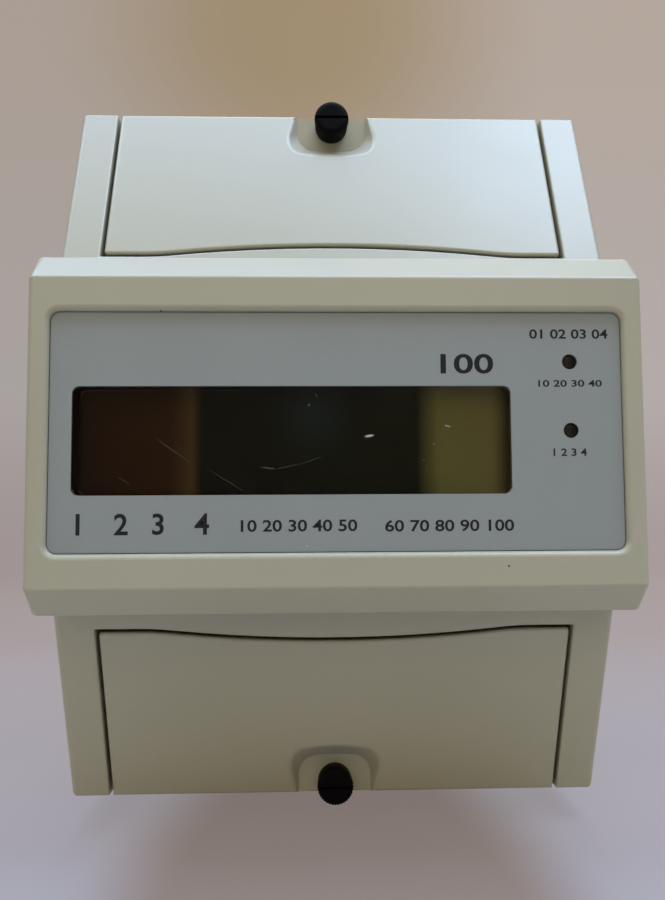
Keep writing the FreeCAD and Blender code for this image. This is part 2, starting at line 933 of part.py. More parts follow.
def notch_loop(end, widening):
    """Plan of the notch at one level: straight sides, round corners and a bowed inner end."""
    half = S.notch_width / 2 + widening
    start = S.notch_start - widening + S.notch_sag
    corner = S.notch_corner + widening / 2
    bow_half = half - corner
    bow_radius = (bow_half * bow_half + S.notch_sag * S.notch_sag) / (2 * S.notch_sag)
    far = half_height + outside
    return [
        (half, end * far),
        (-half, end * far),
        (-half, end * (start + corner), corner, end),
        (-bow_half, end * start, bow_radius, end),
        (bow_half, end * start, corner, end),
        (half, end * (start + corner)),
    ]


def is_plate_rim(edge):
    """The two long edges and the outer edge of a cover's sloping face."""
    on_face = all(
        abs(-vertex.Y - slope(length(abs(vertex.Z))).value) < 0.001 for vertex in edge.Vertexes)
    at_end = abs(abs(edge.BoundBox.Center.z) - half_height.value) < 0.001
    is_long_side = edge.BoundBox.ZLength > 10
    return on_face and (at_end or is_long_side)


def under_plate(foot, start, stop, end):
    """Side view of what hangs from the plate's underside down to a foot."""
    return [side_view([
        (foot, end * start),
        (slope(start) - S.cover_wall / 2, end * start),
        (slope(stop) - S.cover_wall / 2, end * stop),
        (foot, end * stop),
    ])]


def terminal_cover(word, end):
    cover = new_body(word + "_cover")
    skirt_in = half_height - S.thin_wall
    skirt_foot = S.base_front + S.skirt_gap
    inner = S.seam_height + S.seam_gap - outside
    profile = side_view([
        (slope(inner), end * inner),
        (S.end_front, end * half_height),
        (skirt_foot, end * half_height),
        (skirt_foot, end * skirt_in),
        (slope(skirt_in) - S.cover_wall, end * skirt_in),
        (slope(inner) - S.cover_wall, end * inner),
    ])
    add_block(cover, "Plate", SIDE, [profile], -cover_x, cover_x)
    cut_block(
        cover, "SeamEdge", FRONT,
        [seam(end, half_width, S.seam_gap, length(0))], S.deck_front, S.front_reach)
    round_edges(cover, "RimRounding", S.cover_radius, is_plate_rim)
    notch_half = S.notch_width / 2 + S.notch_wall + S.notch_sag
    shell_start = S.notch_start - S.notch_wall - S.notch_sag
    add_block(
        cover, "NotchShell", SIDE, under_plate(boss_front, shell_start, half_height, end),
        -notch_half, notch_half)
    rib_half = S.rib_thickness / 2
    for side, hand in ((-1, "Left"), (1, "Right")):
        add_block(
            cover, hand + "Rib", SIDE,
            under_plate(S.deck_front + S.fit_gap, S.rib_low, S.rib_high, end),
            side * rib_x - rib_half, side * rib_x + rib_half)
    boss_room = boss_half + S.skirt_gap
    cut_block(
        cover, "BossRoom", FRONT,
        [rectangle(
            -boss_room, boss_room,
            end * (end_wall_in - S.skirt_gap), end * (half_height + outside))],
        skirt_foot - outside, boss_front)
    rise = S.seal_head_length + S.notch_wall
    notch = cover.newObject("PartDesign::SubtractiveLoft", "Notch")
    notch.Profile = sketch(
        cover, "NotchFloor", FRONT, [notch_loop(end, length(0))], S.notch_floor)
    notch.Sections = [sketch(
        cover, "NotchMouth", FRONT,
        [notch_loop(end, rise * tangent(S.notch_draft))], S.notch_floor + rise)]
    notch.Ruled = True
    cut_block(
        cover, "SealHole", FRONT,
        [[(length(0), end * S.seal_height, S.seal_shank_radius + S.fit_gap)]],
        boss_front, S.notch_floor)


for word, end in ENDS.items():
    terminal_cover(word, end)

# Seal screws: a tapered head with a driver slot and a shank that reaches through the cover
# into the housing's boss.

for word, end in ENDS.items():
    z = end * S.seal_height
    head_front = S.notch_floor + S.seal_head_length
    head = cone(
        word + "SealHead", length(0), z, S.notch_floor, head_front,
        S.seal_foot_radius, S.seal_head_radius)
    shank = rod(
        word + "SealShank", length(0), z, boss_front - S.seal_shank_length + outside,
        S.notch_floor, S.seal_shank_radius)
    slot = box(
        word + "SealSlot", -S.seal_head_radius, S.seal_head_radius,
        head_front - S.seal_slot_depth, head_front + outside,
        z - S.seal_slot_width / 2, z + S.seal_slot_width / 2)
    whole = fuse(word + "SealWhole", [head, shank])
    keep(cut(word + "SealScrew", whole, [slot]), word + "_seal_screw")

# Front plate: a grey printed plate in the recess, open at the display and the two lamps.

label = new_body("label_plate")
window_loop = rounded(
    window_x, S.window_z, window_width, S.window_height, S.window_corner)
add_block(
    label, "Plate", FRONT,
    [
        rounded(length(0), length(0), label_width, S.label_height, S.label_corner),
        window_loop,
        [(lamp_x, S.pulse_lamp_z, S.lamp_hole_radius)],
        [(lamp_x, S.reverse_lamp_z, S.lamp_hole_radius)],
    ],
    plate_seat, S.front_reach - S.label_recess)

# Display window: a clear pane that fills the plate's opening, on a flange behind the plate.

window = new_body("display_window")
add_block(
    window, "Flange", FRONT,
    [rounded(window_x, S.window_z, flange_width, flange_height, S.window_corner)],
    window_seat, plate_seat - S.fit_gap)
add_block(
    window, "Pane", FRONT,
    [rounded(
        window_x, S.window_z, window_width - S.fit_gap, S.window_height - S.fit_gap,
        S.window_corner)],
    plate_seat - S.fit_gap, S.front_reach - S.label_recess - S.fit_gap)


def block_about(name, x, z, width, height, low, high):
    """A box about a middle point of the front view, between two reaches."""
    return box(
        name, x - width / 2, x + width / 2, low, high, z - height / 2, z + height / 2)


# Display: a liquid crystal cell in a frame on the display board, a light guide behind it and
# two rubber strips that join its edges to the board.

glass_high = front_wall_low - S.fit_gap
glass_low = glass_high - S.glass_thickness
keep(
    block_about(
        "Glass", window_x, S.window_z, glass_width, S.glass_height, glass_low, glass_high),
    "display_glass")
frame_rim = S.wall + 2 * S.fit_gap
frame_block = block_about(
    "FrameBlock", window_x, S.window_z, glass_width + frame_rim, S.glass_height + frame_rim,
    display_board_high, glass_high)
glass_well = block_about(
    "GlassWell", window_x, S.window_z, glass_width + 2 * S.fit_gap,
    S.glass_height + 2 * S.fit_gap, glass_low, S.front_reach)
light_low = display_board_high + S.light_floor
light_well = block_about(
    "LightWell", window_x, S.window_z, light_width + 2 * S.fit_gap,
    S.light_height + 2 * S.fit_gap, light_low, S.front_reach)
strip_slots = []
strips = []
for end in (UPPER, LOWER):
    z = S.window_z + end * S.strip_offset
    strip_slots.append(block_about(
        "StripSlot", window_x, z, strip_width + 2 * S.fit_gap,
        S.strip_thickness + 2 * S.fit_gap, S.display_board_low, S.front_reach))
    strips.append(block_about(
        "Strip", window_x, z, strip_width, S.strip_thickness, display_board_high, glass_low))
keep(cut("Frame", frame_block, [glass_well, light_well] + strip_slots), "display_frame")
keep(
    block_about(
        "Light", window_x, S.window_z, light_width, S.light_height,
        light_low, glass_low - S.fit_gap),
    "display_backlight")
group("display_strips", strips)

# Signal lamps: flat-topped round bodies behind the plate, on two leads each.


def lamp(name, z):
    lamp_high = plate_seat - 4 * S.fit_gap
    body_low = lamp_high - S.lamp_length
    solids = [rod(name + "Body", lamp_x, z, body_low, lamp_high, S.lamp_radius)]
    for side in (-1, 1):
        solids.append(block_about(
            name + "Lead", lamp_x, z + side * S.lead_pitch / 2, S.lead_size, S.lead_size,
            display_board_high, body_low))
    keep(fuse(name, solids), name)


lamp("pulse_led", S.pulse_lamp_z)
lamp("reverse_led", S.reverse_lamp_z)

# Boards, which the hooks of their case halves hold, and the two screws of the case.


def screw(name, x, z, seat, facing, head, shank, slot):
    """A slotted screw. head and shank are (radius, length); facing is 1 for a head in front."""
    head_radius, head_length = head
    shank_radius, shank_length = shank
    if facing == 1:
        head_part = rod(name + "Head", x, z, seat, seat + head_length, head_radius)
        shank_part = rod(name + "Shank", x, z, seat - shank_length, seat, shank_radius)
        slot_low = seat + head_length / 2
        slot_high = seat + head_length + outside
    else:
        head_part = rod(name + "Head", x, z, seat - head_length, seat, head_radius)
        shank_part = rod(name + "Shank", x, z, seat, seat + shank_length, shank_radius)
        slot_low = seat - head_length - outside
        slot_high = seat - head_length / 2
    groove = block_about(name + "Slot", x, z, 2 * head_radius, slot, slot_low, slot_high)
    return cut(name, fuse(name + "Whole", [head_part, shank_part]), [groove])


keep(
    block_about(
        "MainBoard", length(0), length(0), main_board_width, S.main_board_height,
        S.main_board_low, main_board_high),
    "main_board")
keep(
    block_about(
        "DisplayBoard", length(0), length(0), display_board_width, S.display_board_height,
        S.display_board_low, display_board_high),
    "display_board")
group("case_screws", [
    screw(
        "CaseScrew", side * case_screw_x, -side * S.case_screw_z, S.case_head_seat, -1,
        (S.case_head_radius, S.case_head_length), (S.case_screw_radius, S.case_screw_length),
        S.slot_width)
    for side in (-1, 1)
])

# Parts on the metering board


def board_part(name, x, z, width, height, thickness):
    keep(
        block_about(name, x, z, width, height, main_board_high, main_board_high + thickness),
        name)


board_part(
    "supply_capacitor", S.film_capacitor_x, S.film_capacitor_z, S.film_capacitor_width,
    S.film_capacitor_height, S.film_capacitor_length)
board_part(
    "optocoupler", S.coupler_x, S.coupler_z, S.coupler_width, S.coupler_height,
    S.coupler_thickness)
board_part(
    "crystal", S.crystal_x, S.crystal_z, S.crystal_width, S.crystal_height,
    S.crystal_thickness)
keep(
    rod(
        "BulkCapacitor", S.bulk_capacitor_x, S.bulk_capacitor_z, main_board_high,
        main_board_high + S.bulk_capacitor_length, S.bulk_capacitor_radius),
    "bulk_capacitor")

disc = doc.addObject("Part::Cylinder", "VaristorDisc")
bind(disc, "Radius", S.varistor_radius)
bind(disc, "Height", S.varistor_thickness)
bind(disc, "Placement.Base.x", S.varistor_x)
bind(disc, "Placement.Base.y", -main_board_high - S.lead_pitch - S.varistor_radius)
bind(disc, "Placement.Base.z", S.varistor_z - S.varistor_thickness / 2)
varistor_leads = [
    block_about(
        "VaristorLead", S.varistor_x + side * S.lead_pitch, S.varistor_z, S.lead_size,
        S.lead_size, main_board_high, main_board_high + S.lead_pitch + S.varistor_radius)
    for side in (-1, 1)
]
keep(fuse("Varistor", [disc] + varistor_leads), "varistor")

chip_side = S.chip_width / 2 + S.chip_lead_length / 2
chip_solids = [block_about(
    "ChipBody", S.chip_x, S.chip_z, S.chip_width, S.chip_height,
    main_board_high + S.fit_gap, main_board_high + S.chip_thickness)]
for side in (-1, 1):
    for place in range(-4, 4):
        chip_solids.append(block_about(
            "ChipLead", S.chip_x + side * chip_side,
            S.chip_z + (place + 0.5) * S.chip_lead_pitch, S.chip_lead_length,
            S.chip_lead_width, main_board_high, main_board_high + S.chip_thickness / 2))
keep(fuse("MeteringChip", chip_solids), "metering_chip")

header_solids = [block_about(
    "HeaderBody", header_x, S.header_z, S.header_width, S.header_depth,
    main_board_high, main_board_high + S.header_length)]
for place in range(-2, 3):
    header_solids.append(block_about(
        "HeaderPin", header_x + place * S.lead_pitch, S.header_z, S.lead_size, S.lead_size,
        main_board_high + S.header_length, S.display_board_low))
keep(fuse("BoardHeader", header_solids), "board_header")

# Current path: the line enters below on the left, passes the shunt and leaves above. The
# neutral runs straight through on the right.

shunt_half = S.shunt_length / 2
line_x = -terminal_x


def bar(name, x, width, z_low, z_high):
    keep(
        box(name, x - width / 2, x + width / 2, S.bar_low, bar_high, z_low, z_high), name)


bar("line_in_bar", line_x, S.bar_width, -S.bar_end, -shunt_half)
bar("shunt_element", line_x, S.shunt_width, -shunt_half, shunt_half)
bar("line_out_bar", line_x, S.bar_width, shunt_half, S.bar_end)
bar("neutral_bar", terminal_x, S.bar_width, -S.bar_end, S.bar_end)
group("sense_pins", [
    block_about("SensePin", x, z, S.sense_width, S.sense_width, bar_high, S.main_board_low)
    for x, z in (
        (line_x, -shunt_half + S.wall),
        (line_x, shunt_half - S.wall),
        (terminal_x, length(0)),
    )
])

# Rising clamps: the screw's tip stands on the bar, and turning it draws the cage forward, so
# that the cage's foot presses the wire against the bar's rear face.

CLAMP = SimpleNamespace(
    bar_low=S.bar_low, bar_high=bar_high, width=S.cage_width, depth=S.cage_length,
    wall=S.cage_wall, foot=S.cage_foot, opening=S.cage_opening, cap=S.cage_cap,
    travel=S.cage_travel, screw_radius=S.clamp_screw_radius,
    head=(S.clamp_head_radius, S.clamp_head_length), slot=S.slot_width)
pulse_bar_high = S.pulse_bar_low + S.pulse_bar_thickness
PULSE_CLAMP = SimpleNamespace(
    bar_low=S.pulse_bar_low, bar_high=pulse_bar_high, width=S.pulse_cage_width,
    depth=S.pulse_cage_length, wall=S.pulse_cage_wall, foot=S.pulse_cage_foot,
    opening=S.pulse_cage_opening, cap=S.pulse_cage_cap, travel=S.pulse_cage_travel,
    screw_radius=S.pulse_screw_radius, head=(S.pulse_head_radius, S.pulse_head_length),
    slot=S.small_slot_width)


def clamp(word, x, z, kind):
    opening_low = kind.bar_low - kind.opening
    cap_low = kind.bar_high + S.slide_gap
    cap_high = cap_low + kind.cap
    outer = block_about(
        word + "CageBlock", x, z, kind.width, kind.depth, opening_low - kind.foot, cap_high)
    opening = block_about(
        word + "CageOpening", x, z, kind.width - 2 * kind.wall, kind.depth + outside,
        opening_low, cap_low)
    thread = rod(
        word + "CageThread", x, z, cap_low - outside, cap_high + outside,
        kind.screw_radius + S.thread_gap)
    keep(cut(word + "Cage", outer, [opening, thread]), word + "_cage")
    seat = cap_high + kind.travel + 5 * S.fit_gap
    shank_length = seat - kind.bar_high - S.fit_gap
    keep(
        screw(word + "Screw", x, z, seat, 1, kind.head, (kind.screw_radius, shank_length), kind.slot),
        word + "_screw")


for word, side, end in (
    ("line_in", -1, LOWER), ("line_out", -1, UPPER),
    ("neutral_in", 1, LOWER), ("neutral_out", 1, UPPER),
):
    clamp(word, side * terminal_x, end * S.terminal_height, CLAMP)

# Pulse output: a small moulded block on its seat in the upper middle chamber, with two small
# clamps and two contact strips that lead back to the metering board.

pulse_front = deck_low - S.slide_gap
pulse_mid = (S.pulse_block_start + S.pulse_block_end) / 2
block_solid = block_about(
    "PulseBlock", length(0), pulse_mid, S.pulse_block_width,
    S.pulse_block_end - S.pulse_block_start, S.pulse_block_foot, pulse_front)
block_cuts = []
contact_strips = []
contact_foot = S.board_room - S.wall - S.pulse_bar_thickness
for side in (-1, 1):
    x = side * pulse_x
    shaft_low = S.pulse_bar_low - S.pulse_cage_opening - S.pulse_cage_foot - S.fit_gap
    block_cuts.append(block_about(
        "PulseShaft", x, S.pulse_height, 2 * pulse_shaft_half,
        S.pulse_cage_length + 2 * S.fit_gap, shaft_low, pulse_front + outside))
    block_cuts.append(box(
        "PulseWireHole", x - pulse_entry / 2, x + pulse_entry / 2,
        S.pulse_bar_low - S.pulse_cage_opening, S.pulse_bar_low,
        S.pulse_height, S.pulse_block_end + outside))
    strip_half = S.pulse_bar_width / 2
    block_cuts.append(box(
        "PulseStripSlot", x - strip_half - S.fit_gap, x + strip_half + S.fit_gap,
        S.pulse_bar_low - S.fit_gap, pulse_bar_high + S.fit_gap,
        S.pulse_block_start - outside, S.pulse_height))
    contact_strips.append(fuse("PulseStrip", [
        box(
            "PulseStripFlat", x - strip_half, x + strip_half, S.pulse_bar_low, pulse_bar_high,
            contact_foot, S.pulse_height + S.pulse_cage_length / 2),
        box(
            "PulseStripRise", x - strip_half, x + strip_half, S.pulse_bar_low,
            S.main_board_low, contact_foot, contact_foot + S.pulse_bar_thickness),
    ]))
keep(cut("PulseBlockCut", block_solid, block_cuts), "pulse_block")
group("pulse_pins", contact_strips)
clamp("pulse_plus", -pulse_x, S.pulse_height, PULSE_CLAMP)
clamp("pulse_minus", pulse_x, S.pulse_height, PULSE_CLAMP)

# Rail latch: a slide in the base's T-shaped groove. Its nose grips the rail's lower edge, and
# its tail sticks out below with a slot for a screwdriver.

latch = new_body("din_latch")
latch_top = -rail_half - S.fit_gap
latch_half = S.latch_width / 2
latch_far = latch_near + S.latch_thickness
rib_half_width = latch_half + S.latch_rib
add_block(
    latch, "Tongue", PLAN, [rectangle(-latch_half, latch_half, latch_near, latch_far)],
    -S.latch_tail, latch_top)
add_block(
    latch, "Ribs", PLAN, [rectangle(-rib_half_width, rib_half_width, latch_near, rib_far)],
    -chamber_end, latch_top)
nose_top = S.hook_depth - rail_half
add_block(
    latch, "Nose", SIDE,
    [[
        (latch_near, latch_top),
        (hook_far, latch_top),
        (hook_far, nose_top - S.hook_depth / 2),
        (latch_near + S.hook_thickness / 2, nose_top),
        (latch_near, nose_top),
    ]],
    -latch_half, latch_half)
pocket_half = S.spring_radius + S.slide_gap
pocket_top = S.spring_length - S.spring_seat + S.fit_gap
cut_block(
    latch, "SpringPocket", FRONT,
    [rectangle(
        -pocket_half, pocket_half, -S.spring_seat - S.thin_wall - S.fit_gap, pocket_top)],
    -latch_far - outside, -latch_near + outside)
slot_middle = -(S.latch_tail + half_height) / 2
cut_block(
    latch, "DriverSlot", FRONT,
    [rectangle(
        -S.latch_width / 5, S.latch_width / 5,
        slot_middle - S.slot_width / 2, slot_middle + S.slot_width / 2)],
    -latch_far - outside, -latch_near + outside)

# Latch spring: a compression coil between the base's peg and the top of the latch's pocket.
# Each half turn is a pair of arcs. The wire is drawn five-sided, which keeps the faces few.

wire_half = S.spring_wire.value / 2
coil_radius = S.spring_radius.value - wire_half
half_turns = round(2 * S.spring_turns.value)
half_rise = (S.spring_length.value - S.spring_wire.value) / half_turns


def on_coil(count):
    """Point and direction of the wire after a number of half turns."""
    angle = math.pi * count
    point = FreeCAD.Vector(
        coil_radius * math.cos(angle), coil_radius * math.sin(angle), half_rise * count)
    direction = FreeCAD.Vector(-math.sin(angle), math.cos(angle), half_rise / math.pi / coil_radius)
    return point, direction.normalize()


def arc_with_tangent(start, end, tangent_there, turn):
    """The arc between two points with a given direction at its start (1) or its end (-1)."""
    chord = end - start
    along = FreeCAD.Vector(chord).normalize()
    angle = tangent_there.getAngle(chord)
    outward = (tangent_there - along * tangent_there.dot(along)).normalize()
    middle = start + chord / 2 + outward * (turn * chord.Length / 2 * math.tan(angle / 2))
    return Part.Arc(start, middle, end).toShape()


def half_turn(count):
    start, start_way = on_coil(count)
    end, end_way = on_coil(count + 1)
    span = end - start
    slant = span.dot(start_way + end_way)
    spread = 2 * (1 - start_way.dot(end_way))
    reach = (math.sqrt(slant ** 2 + spread * span.dot(span)) - slant) / spread
    meeting = (start + start_way * reach + end - end_way * reach) / 2
    return [
        arc_with_tangent(start, meeting, start_way, 1),
        arc_with_tangent(meeting, end, end_way, -1),
    ]


turns = Part.Wire([arc for count in range(half_turns) for arc in half_turn(count)])
ring = Part.makePolygon([
    FreeCAD.Vector(
        coil_radius + wire_half * math.cos(2 * math.pi * corner / 5), 0,
        wire_half * math.sin(2 * math.pi * corner / 5))
    for corner in range(6)
])
spring = doc.addObject("Part::Feature", "LatchSpring")
spring.Shape = turns.makePipeShell([ring], True, False)
spring.Placement.Base = FreeCAD.Vector(
    0, latch_near.value + S.latch_thickness.value / 2, wire_half - S.spring_seat.value)
keep(spring, "latch_spring")
points = turns.discretize(Number=24 * half_turns)
least = min(
    first.distanceToPoint(second)
    for index, first in enumerate(points)
    for second in points[index + 24:]
)
print("least gap between the spring's turns", round(least - 2 * wire_half, 2))

# Check and write

for piece in nodes:
    if piece.TypeId == "PartDesign::Body":
        piece.Tip.Refine = True
doc.recompute()
faults = [
    thing.Name for thing in doc.Objects if "Invalid" in thing.State or "Error" in thing.State
]
faults += [
    piece.Label for piece in nodes if piece.Shape.isNull() or not piece.Shape.isValid()
]
if faults:
    raise RuntimeError("pieces that failed: " + ", ".join(faults))
os.makedirs("parts", exist_ok=True)
for piece in nodes:
    piece.Shape.exportStep("parts/%s.step" % piece.Label)
print(len(nodes), "pieces written")
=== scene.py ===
import math

import bmesh
import bpy
from mathutils import Matrix, Vector


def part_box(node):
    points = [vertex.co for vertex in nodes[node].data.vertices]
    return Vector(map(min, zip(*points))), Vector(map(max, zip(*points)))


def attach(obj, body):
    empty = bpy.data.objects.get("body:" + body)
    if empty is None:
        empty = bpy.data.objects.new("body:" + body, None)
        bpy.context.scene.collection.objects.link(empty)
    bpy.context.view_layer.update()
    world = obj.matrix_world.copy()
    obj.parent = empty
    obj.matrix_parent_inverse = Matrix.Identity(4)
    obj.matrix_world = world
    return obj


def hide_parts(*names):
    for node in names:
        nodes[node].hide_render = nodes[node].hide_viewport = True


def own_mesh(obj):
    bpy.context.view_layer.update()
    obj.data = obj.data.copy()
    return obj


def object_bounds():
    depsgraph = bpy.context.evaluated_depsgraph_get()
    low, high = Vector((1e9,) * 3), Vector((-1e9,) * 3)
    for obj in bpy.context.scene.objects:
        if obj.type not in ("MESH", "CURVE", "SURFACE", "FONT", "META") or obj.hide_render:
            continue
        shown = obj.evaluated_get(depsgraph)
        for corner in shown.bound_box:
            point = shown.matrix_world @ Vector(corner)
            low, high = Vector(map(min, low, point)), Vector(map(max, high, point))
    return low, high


# Energy meter for a mounting rail, seen from close in front. All lengths are in metres.
# X runs across the front, Y into the cabinet and Z up, from the middle of the rail seat.
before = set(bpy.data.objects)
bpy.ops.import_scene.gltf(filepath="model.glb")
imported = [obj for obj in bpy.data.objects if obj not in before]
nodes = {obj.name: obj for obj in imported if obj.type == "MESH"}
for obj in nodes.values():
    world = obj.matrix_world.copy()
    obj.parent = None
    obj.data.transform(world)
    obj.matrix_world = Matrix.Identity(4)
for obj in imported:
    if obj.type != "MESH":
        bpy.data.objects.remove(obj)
cad_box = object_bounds()
scene = bpy.context.scene
MM = 0.001


# The view: a phone camera held a hand's width in front of the display, a little below its
# middle and tilted up by four degrees, so that both sloping covers show.
camera_data = bpy.data.cameras.new("view")
camera_data.lens = 32.8
camera_data.sensor_width = 36
camera_data.clip_start = 0.01
camera = bpy.data.objects.new("view", camera_data)
camera.location = (-4.07 * MM, -159.61 * MM, -9.37 * MM)
camera.rotation_euler = [math.radians(angle) for angle in (93.998, 0.33, -1.852)]
scene.collection.objects.link(camera)
scene.camera = camera
scene.view_settings.view_transform = "Standard"


# The stage: a pale pinkish sheet that lies under the meter and sweeps up far behind it. It
# is matt and turns browner towards its top, with a painted brown shade high in its middle.
# The meter's soft shade on the table is painted too: a brown oval, long from front to back.
def put(tree, kind, inputs=None, **settings):
    """Adds a node; inputs maps socket names to a value or to another node's output."""
    node = tree.nodes.new("ShaderNode" + kind)
    for name, value in settings.items():
        setattr(node, name, value)
    for name, value in (inputs or {}).items():
        socket = node.inputs[name]
        if isinstance(value, bpy.types.NodeSocket):
            tree.links.new(value, socket)
        else:
            socket.default_value = value
    return node


def new_finish(name):
    """A new material, its empty node tree and the place on the piece that it colours."""
    material = bpy.data.materials.new(name)
    material.use_nodes = True
    tree = material.node_tree
    tree.nodes.clear()
    return material, tree, put(tree, "TexCoord").outputs["Object"]


def sheet_colour(red, green, blue):
    """An 8-bit screen colour as the linear colour that shaders take."""
    linear = [
        (c / 255 / 12.92) if c / 255 <= 0.04045 else ((c / 255 + 0.055) / 1.055) ** 2.4
        for c in (red, green, blue)
    ]
    return (*linear, 1.0)


def ranged(tree, value, low, high, to_low=0, to_high=1, smooth=False):
    """A value carried from one range over to another and held at its ends."""
    return put(
        tree, "MapRange",
        {"Value": value, "From Min": low, "From Max": high, "To Min": to_low, "To Max": to_high},
        interpolation_type="SMOOTHSTEP" if smooth else "LINEAR").outputs["Result"]


def distance(tree, place, point):
    """How far each place lies from a point, in metres."""
    return put(tree, "VectorMath", {0: place, 1: point}, operation="DISTANCE").outputs["Value"]


def shade_between(tree, factor, low, high):
    """A colour between two, by a factor from 0 to 1."""
    return put(
        tree, "Mix", {"Factor": factor, "A": low, "B": high}, data_type="RGBA").outputs["Result"]


def layered(tree, factor, under, over):
    """One finish over another, by a factor from 0 to 1."""
    return put(tree, "MixShader", {"Fac": factor, 1: under, 2: over}).outputs["Shader"]


FLOOR_LEVEL = cad_box[0].z
SHEET_HALF_WIDTH = 1.6
SHEET_NEAR_END = -0.9
SHEET_TOP = 1.4
SWEEP_START = 0.42
SWEEP_RADIUS = 0.25
SWEEP_STEPS = 24
sweep_line = [(SHEET_NEAR_END, FLOOR_LEVEL), (SWEEP_START, FLOOR_LEVEL)]
for step in range(1, SWEEP_STEPS + 1):
    angle = math.radians(90 * step / SWEEP_STEPS)
    sweep_line.append((
        SWEEP_START + SWEEP_RADIUS * math.sin(angle),
        FLOOR_LEVEL + SWEEP_RADIUS * (1 - math.cos(angle))))
sweep_line.append((SWEEP_START + SWEEP_RADIUS, SHEET_TOP))
sweep_mesh = bpy.data.meshes.new("backdrop")
sweep_mesh.from_pydata(
    [(x, y, z) for y, z in sweep_line for x in (-SHEET_HALF_WIDTH, SHEET_HALF_WIDTH)], [],
    [(2 * i, 2 * i + 1, 2 * i + 3, 2 * i + 2) for i in range(len(sweep_line) - 1)])
for face in sweep_mesh.polygons:
    face.use_smooth = True
backdrop = bpy.data.objects.new("backdrop", sweep_mesh)
scene.collection.objects.link(backdrop)

TOP_TONE_LEVEL = 0.48
TABLE_NEAR, TABLE_FAR = -0.06, 0.14
# A painted brown shade lies high in the middle of the wall.
PAINTED_SHADE_SPOT = (-0.01, 0.67, 0.50)
PAINTED_SHADE_SPOT_INNER, PAINTED_SHADE_SPOT_OUTER = 0.05, 0.28
GLOW_REACH = 0.25
GLOW_LEFT, GLOW_RIGHT = 0.97, 1.10
GLOW_ON_TABLE, GLOW_ON_WALL = 0.72, 0.95
WALL_START = 0.1
# The meter's shadow on the table is painted: a soft brown oval that no lamp moves.
SHADE_DRAW = 0.35  # the brown shade is a long oval: depths are drawn in by this to measure it
SHADE_MIDDLE = (0.0, -0.023, FLOOR_LEVEL)
SHADE_INNER, SHADE_OUTER = 0.020, 0.034
paper, tree, place = new_finish("backdrop_paper")
spot = put(tree, "SeparateXYZ", {"Vector": place}).outputs
tones = put(tree, "ValToRGB", {"Fac": ranged(tree, spot["Z"], FLOOR_LEVEL, TOP_TONE_LEVEL)})
tones.color_ramp.elements[0].color = sheet_colour(172, 159, 157)
tones.color_ramp.elements[1].color = sheet_colour(176, 163, 153)
tones.color_ramp.elements.new(0.30).color = sheet_colour(173, 166, 164)
# Painted shade: the wall turns browner round a spot high in its middle.
brown = ranged(
    tree, distance(tree, place, PAINTED_SHADE_SPOT), PAINTED_SHADE_SPOT_INNER, PAINTED_SHADE_SPOT_OUTER, 1, 0, smooth=True)
wall_tone_and_shade = shade_between(tree, brown, tones.outputs["Color"], sheet_colour(161, 142, 115))
back = ranged(tree, spot["Y"], TABLE_NEAR, TABLE_FAR)
drawn_in = put(tree, "VectorMath", {0: place, 1: (1.0, SHADE_DRAW, 1.0)}, operation="MULTIPLY")
# The painted brown shadow darkens both the lit and the glowing colours of the table.
shade = ranged(
    tree, distance(tree, drawn_in.outputs["Vector"], SHADE_MIDDLE), SHADE_INNER, SHADE_OUTER,
    1, 0, smooth=True)
lit_table = shade_between(tree, back, sheet_colour(163, 157, 166), sheet_colour(138, 131, 134))
lit_tone = shade_between(tree, shade, lit_table, sheet_colour(138, 124, 119))
glow_table = shade_between(tree, back, sheet_colour(168, 165, 174), wall_tone_and_shade)
glow_tone = shade_between(tree, shade, glow_table, sheet_colour(144, 132, 127))
path = put(tree, "LightPath").outputs
seen = path["Is Camera Ray"]
for kind in ("Is Glossy Ray", "Is Transmission Ray"):
    seen = put(tree, "Math", {0: seen, 1: path[kind]}, operation="MAXIMUM").outputs["Value"]
bounce_tone = sheet_colour(185, 177, 170)
lit = put(tree, "BsdfDiffuse", {"Color": shade_between(tree, seen, bounce_tone, lit_tone)})
brightness = ranged(tree, spot["X"], -GLOW_REACH, GLOW_REACH, GLOW_LEFT, GLOW_RIGHT)
glow = put(tree, "Emission", {"Color": glow_tone, "Strength": brightness})
glow_share = ranged(
    tree, spot["Z"], FLOOR_LEVEL, WALL_START, GLOW_ON_TABLE, GLOW_ON_WALL, smooth=True)
share = put(tree, "Math", {0: seen, 1: glow_share}, operation="MULTIPLY").outputs["Value"]
put(tree, "OutputMaterial", {
    "Surface": layered(tree, share, lit.outputs["BSDF"], glow.outputs["Emission"])})
sweep_mesh.materials.append(paper)


# The light: a wide soft source overhead, as a window and a bright ceiling would give, a small
# one high on the right, a large warm one in front, a weak one behind, and a faint even light
# from all round but for straight ahead. The far wall of the room is a pale pinkish grey.
def soft_light(name, place, aim, width, height, power, colour):
    """An even rectangular light that looks at a point."""
    data = bpy.data.lights.new(name, "AREA")
    data.shape = "RECTANGLE"
    data.size = width
    data.size_y = height
    data.energy = power
    data.color = colour
    light = bpy.data.objects.new(name, data)
    light.location = place
    light.rotation_euler = (Vector(aim) - Vector(place)).to_track_quat("-Z", "Y").to_euler()
    scene.collection.objects.link(light)


soft_light(
    "overhead", (0.02, -0.105, 0.50), (0.030, -0.045, 0), 0.9, 0.31, 6.0, (0.50, 0.68, 1.0))
soft_light("window", (0.21, -0.25, 0.50), (0.21, -0.15, 0), 0.2, 0.16, 0.9, (0.55, 0.72, 1.0))
soft_light("front", (-0.15, -0.80, 0.50), (0, 0, 0), 1.2, 0.8, 3.15, (1.0, 0.93, 0.72))
soft_light("behind", (0.05, 0.35, 0.50), (0, 0, -0.03), 0.4, 0.2, 1.6, (1.0, 0.98, 0.72))

